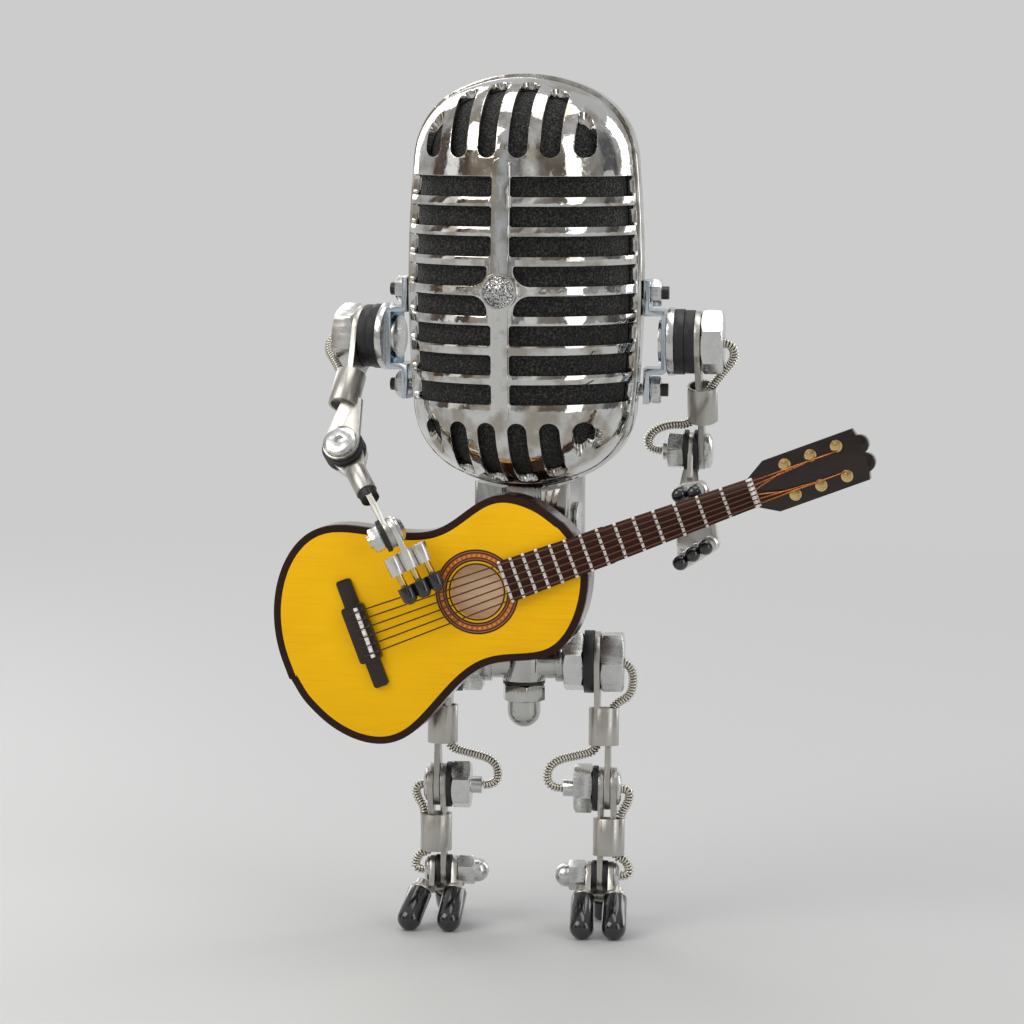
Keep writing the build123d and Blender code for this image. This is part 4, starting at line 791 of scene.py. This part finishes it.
# %% Routes
def spline_points(name, control):
    """Closely spaced points of a smooth spline with these control points."""
    data = bpy.data.curves.new(name, "CURVE")
    data.dimensions = "3D"
    data.resolution_u = 24
    spline = data.splines.new("NURBS")
    spline.points.add(len(control) - 1)
    for point, place in zip(spline.points, control):
        point.co = (*place, 1)
    spline.order_u = 3
    spline.use_endpoint_u = True
    holder = bpy.data.objects.new(name, data)
    bpy.context.scene.collection.objects.link(holder)
    mesh = bpy.data.meshes.new_from_object(holder)
    points = [vertex.co.copy() for vertex in mesh.vertices]
    bpy.data.objects.remove(holder)
    bpy.data.meshes.remove(mesh)
    return points


def walk(points, step):
    """Points along a route at even steps, with the direction of travel at each."""
    places, carried = [], 0.0
    for start, end in zip(points, points[1:]):
        run = end - start
        while carried <= run.length:
            places.append((start + run.normalized() * carried, run.normalized()))
            carried += step
        carried -= run.length
    return places


# %% Coils
coil_radius = 1.5
wire_radius = 0.36
coil_pitch = 0.88
coil_steps = 10
cable_radius = 0.85
wire_sides, cable_sides = 6, 8


def wind(routes, name, body, replaced):
    """Wound springs with a dark cable inside, one for each route, in place of the plain tubes."""
    mesh = bmesh.new()
    for control in routes:
        places = walk(spline_points(name + "_route", control), coil_pitch / coil_steps * mm)
        normal = places[0][1].orthogonal().normalized()
        wire, cable = [], []
        for count, (place, along) in enumerate(places):
            normal = square_to(normal, along)
            beside = along.cross(normal)
            turn = 2 * math.pi * count / coil_steps
            out = normal * math.cos(turn) + beside * math.sin(turn)
            centre = place + out * (coil_radius - wire_radius) * mm
            wire.append(ring(mesh, centre, out * wire_radius * mm, along * wire_radius * mm, wire_sides))
            if count % coil_steps == 0:
                cable.append(ring(mesh, place, normal * cable_radius * mm, beside * cable_radius * mm,
                                  cable_sides))
        tube(mesh, wire, 0)
        tube(mesh, cable, 1)
    as_piece(mesh, name, [spring_steel, rubber], body, replaced)


# %% [markdown]
# ## Where the springs run
#
# A spring leaves the drilled end of a bolt, bows out and enters the barrel of the lug below, or it
# leaves that barrel for the next bolt. Each route is given in the limb's own directions, out along
# its pivot and down to the next pivot, so one list of points serves the left and the right limb.
# The points are listed one by one. At a bolt the last two lie on the bolt's axis, so that the
# spring goes straight into its hole.


# %% Springs of a limb
def limb_lines(top, bottom):
    """A limb's top pivot, its axis and the direction down to the next pivot."""
    start = Vector(joints[top]["pos_m"])
    axis = Vector(joints[top]["axis"]).normalized()
    return start, axis, square_to(Vector(joints[bottom]["pos_m"]) - start, axis)


def wind_limb(name, limb, side, lines, routes):
    """Winds a limb's springs along routes of (out along the axis, down the limb) millimetres."""
    start, axis, down = lines
    wind([[start + (axis * out + down * low) * mm for out, low in route] for route in routes],
         name + "_springs_" + side, limb + "_" + side + "_body", [limb + "_" + side + "_sheaths"])


# %% Arm springs
elbow_inset = 11.97
for side in sides:
    start, axis, down = lines = limb_lines("shoulder_" + side, "elbow_" + side)
    routes = [[(5.6, 0), (9.8, 0), (11.0, 5.2), (6.2, 11.0), (2.8, 16.1)]]
    if side == "left":
        reach = Vector(joints["elbow_left"]["pos_m"]) - start
        out, low = reach.dot(axis) / mm - elbow_inset, reach.dot(down) / mm
        routes.append([(-1.7, 23.7), (-2.1, 27.2), (-10.7, 27.2),
                       (out - 4.6, low - 4.6), (out - 3.8, low), (out, low)])
    wind_limb("arm", "upper_arm", side, lines, routes)

# %% Leg springs
thigh_bow = {"left": 10.6, "right": 9.5}
for side in sides:
    bow = thigh_bow[side]
    wind_limb("thigh", "thigh", side, limb_lines("hip_" + side, "knee_" + side), [
        [(6.2, 0), (bow, 0), (bow + 0.3, 10), (5.0, 12.7), (3.7, 15.7)],
        [(0.1, 23.5), (0.1, 26.9), (-4.9, 28.3), (-13.5, 30.4), (-15.3, 34.8), (-13.9, 38.4),
         (-10.3, 38.4)]])
    wind_limb("shin", "shin", side, limb_lines("knee_" + side, "ankle_" + side), [
        [(4.15, 0), (6.55, 0), (6.75, 3.4), (4.15, 7.3), (4.15, 8.9)],
        [(2.4, 18.4), (2.4, 20.6), (5.8, 21.4), (7.0, 24.8), (6.2, 26.4), (3.8, 26.4)]])

# %% [markdown]
# ## The guitar's rosette
#
# Rings of inlay run round a guitar's sound hole, here thin black lines on both sides of an orange
# band set with small pale tiles. They could be painted by a texture that measures the distance from
# the hole, but thin rings of mesh keep their edges sharp at any distance.


# %% Flat rings and tiles
def face_ring(mesh, inner, outer, low, high, index, steps=160):
    """Adds a flat ring round the sound hole, from low to high above the face."""
    loops = [ring(mesh, on_guitar(0, 0, height), neck_dir * radius * mm, cross_dir * radius * mm, steps)
             for radius, height in ((inner, low), (inner, high), (outer, high), (outer, low))]
    join_rings(mesh, loops + loops[:1], index, smooth=False)


def face_block(mesh, along, across, height, size, index, turn=0.0):
    """Adds a small rectangular tile that lies at a height above the face."""
    half_u, half_v, thick = size[0] / 2, size[1] / 2, size[2]
    corners = []
    for h in (height, height + thick):
        for u, v in ((-half_u, -half_v), (half_u, -half_v), (half_u, half_v), (-half_u, half_v)):
            corners.append(mesh.verts.new(on_guitar(along + u * math.cos(turn) - v * math.sin(turn),
                                                    across + u * math.sin(turn) + v * math.cos(turn), h)))
    for quad in ((0, 1, 2, 3), (7, 6, 5, 4), (0, 4, 5, 1), (1, 5, 6, 2), (2, 6, 7, 3), (3, 7, 4, 0)):
        mesh.faces.new([corners[k] for k in quad]).material_index = index


# %% Rosette
orange, black, pale = 0, 1, 2
rosette_rings = [                   # inner and outer radius, and which of the two finishes
    (8.15, 8.6, black), (9.2, 9.7, black), (9.7, 10.0, orange), (10.0, 10.35, black),
    (10.35, 11.5, orange), (11.5, 11.9, black), (11.9, 12.2, orange), (12.2, 12.7, black)]
ring_foot, orange_height, black_rise = 0.01, 0.06, 0.01
tile_count = 44
tile_radius = 10.92
tile_foot = 0.055
tile_size = (0.62, 0.7, 0.02)
rosette = bmesh.new()
for inner, outer, index in rosette_rings:
    face_ring(rosette, inner, outer, ring_foot, orange_height + black_rise * index, index)
for number in range(tile_count):
    angle = 2 * math.pi * number / tile_count
    face_block(rosette, tile_radius * math.cos(angle), tile_radius * math.sin(angle), tile_foot, tile_size,
               pale, angle + math.pi / 4)
as_piece(rosette, "rosette", [rosette_orange, rosette_black, rosette_pale], "torso")

# %% [markdown]
# ## Beads on the frets and pins on the bridge
#
# A fret wire under six strings shows as a row of bright dots rather than a smooth bar, so each fret
# gets a row of small flattened balls. The frets stand closer together towards the body, by the rule
# that twelve of them halve the string. The size and place of each ball drift a little, from a random
# generator with a fixed seed, so that the scene comes out the same each time.


# %% Beads
def bead(mesh, centre, radius, squash, index=0, ring_count=6, steps=10):
    """Adds a small ball, flattened towards the guitar's face."""
    depth = Vector((0, squash * radius, 0)) * mm
    loops = []
    for number in range(1, ring_count):
        polar = math.pi * number / ring_count
        reach = radius * math.sin(polar) * mm
        loops.append(ring(mesh, centre - depth * math.cos(polar), neck_dir * reach, cross_dir * reach, steps))
    top_point = mesh.verts.new(centre - depth)
    low_point = mesh.verts.new(centre + depth)
    join_rings(mesh, loops, index)
    for k in range(steps):
        for face in (mesh.faces.new((top_point, loops[0][k], loops[0][k - 1])),
                     mesh.faces.new((low_point, loops[-1][k - 1], loops[-1][k]))):
            face.material_index = index
            face.smooth = True


def spread(half, count):
    """Places at even distances from -half to half."""
    return [half * (2 * k / (count - 1) - 1) for k in range(count)]


# %% Beaded frets and nut
board_start = 10.2
half_start, half_end = 6.3, 4.3
board_thickness = 1.8
string_length = 141.0
fret_count = 14
string_count = 6
bead_gap, bead_inset, bead_rise, bead_squash = 0.74, 0.3, 0.2, 0.9
bead_least, bead_most, bead_drift = 0.48, 0.58, 0.05
nut_ahead, nut_inset, nut_rise, nut_radius, nut_squash = 0.9, 0.6, 0.75, 0.72, 0.8
beads = bmesh.new()
seed = 4
generator = random.Random(seed)
for fret in range(1, fret_count + 1):
    along = board_end - string_length * (1 - 2 ** (-fret / 12))
    share = (along - board_start) / (board_end - board_start)
    half = half_start + share * (half_end - half_start) - bead_inset
    for across in spread(half, int(2 * half / bead_gap) + 1):
        place = on_guitar(along + generator.uniform(-bead_drift, bead_drift), across,
                          board_thickness + bead_rise)
        bead(beads, place, generator.uniform(bead_least, bead_most), bead_squash)
for across in spread(half_end - nut_inset, string_count):
    bead(beads, on_guitar(board_end + nut_ahead, across, board_thickness + nut_rise), nut_radius, nut_squash)
as_piece(beads, "fret_beads", [ivory], "torso")

# %% Tiles and pins on the bridge
bridge_along, bridge_height = -37.5, 2.4
bridge_tiles = 9
tile_row, tile_ahead, tile_lift, bridge_tile = 7.2, 1.2, 0.1, (1.1, 1.35, 0.75)
pin_row, pin_ahead, pin_drop, pin_radius, pin_squash = 6.7, 3.1, 0.3, 0.8, 0.8
pins = bmesh.new()
for across in spread(tile_row, bridge_tiles):
    face_block(pins, bridge_along + tile_ahead, across, bridge_height + tile_lift, bridge_tile, 0)
for across in spread(pin_row, string_count):
    bead(pins, on_guitar(bridge_along + pin_ahead, across, bridge_height - pin_drop), pin_radius,
         pin_squash, 1)
as_piece(pins, "bridge_pins", [ivory, black_wood], "torso")

# %% [markdown]
# ## Measure and finish
#
# The dressed lamp has to be as big as its solids. The box round everything is measured and printed.

# %% Finish
low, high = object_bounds()
print("size:", [round((far - near) / mm, 1) for near, far in zip(low, high)], "mm")
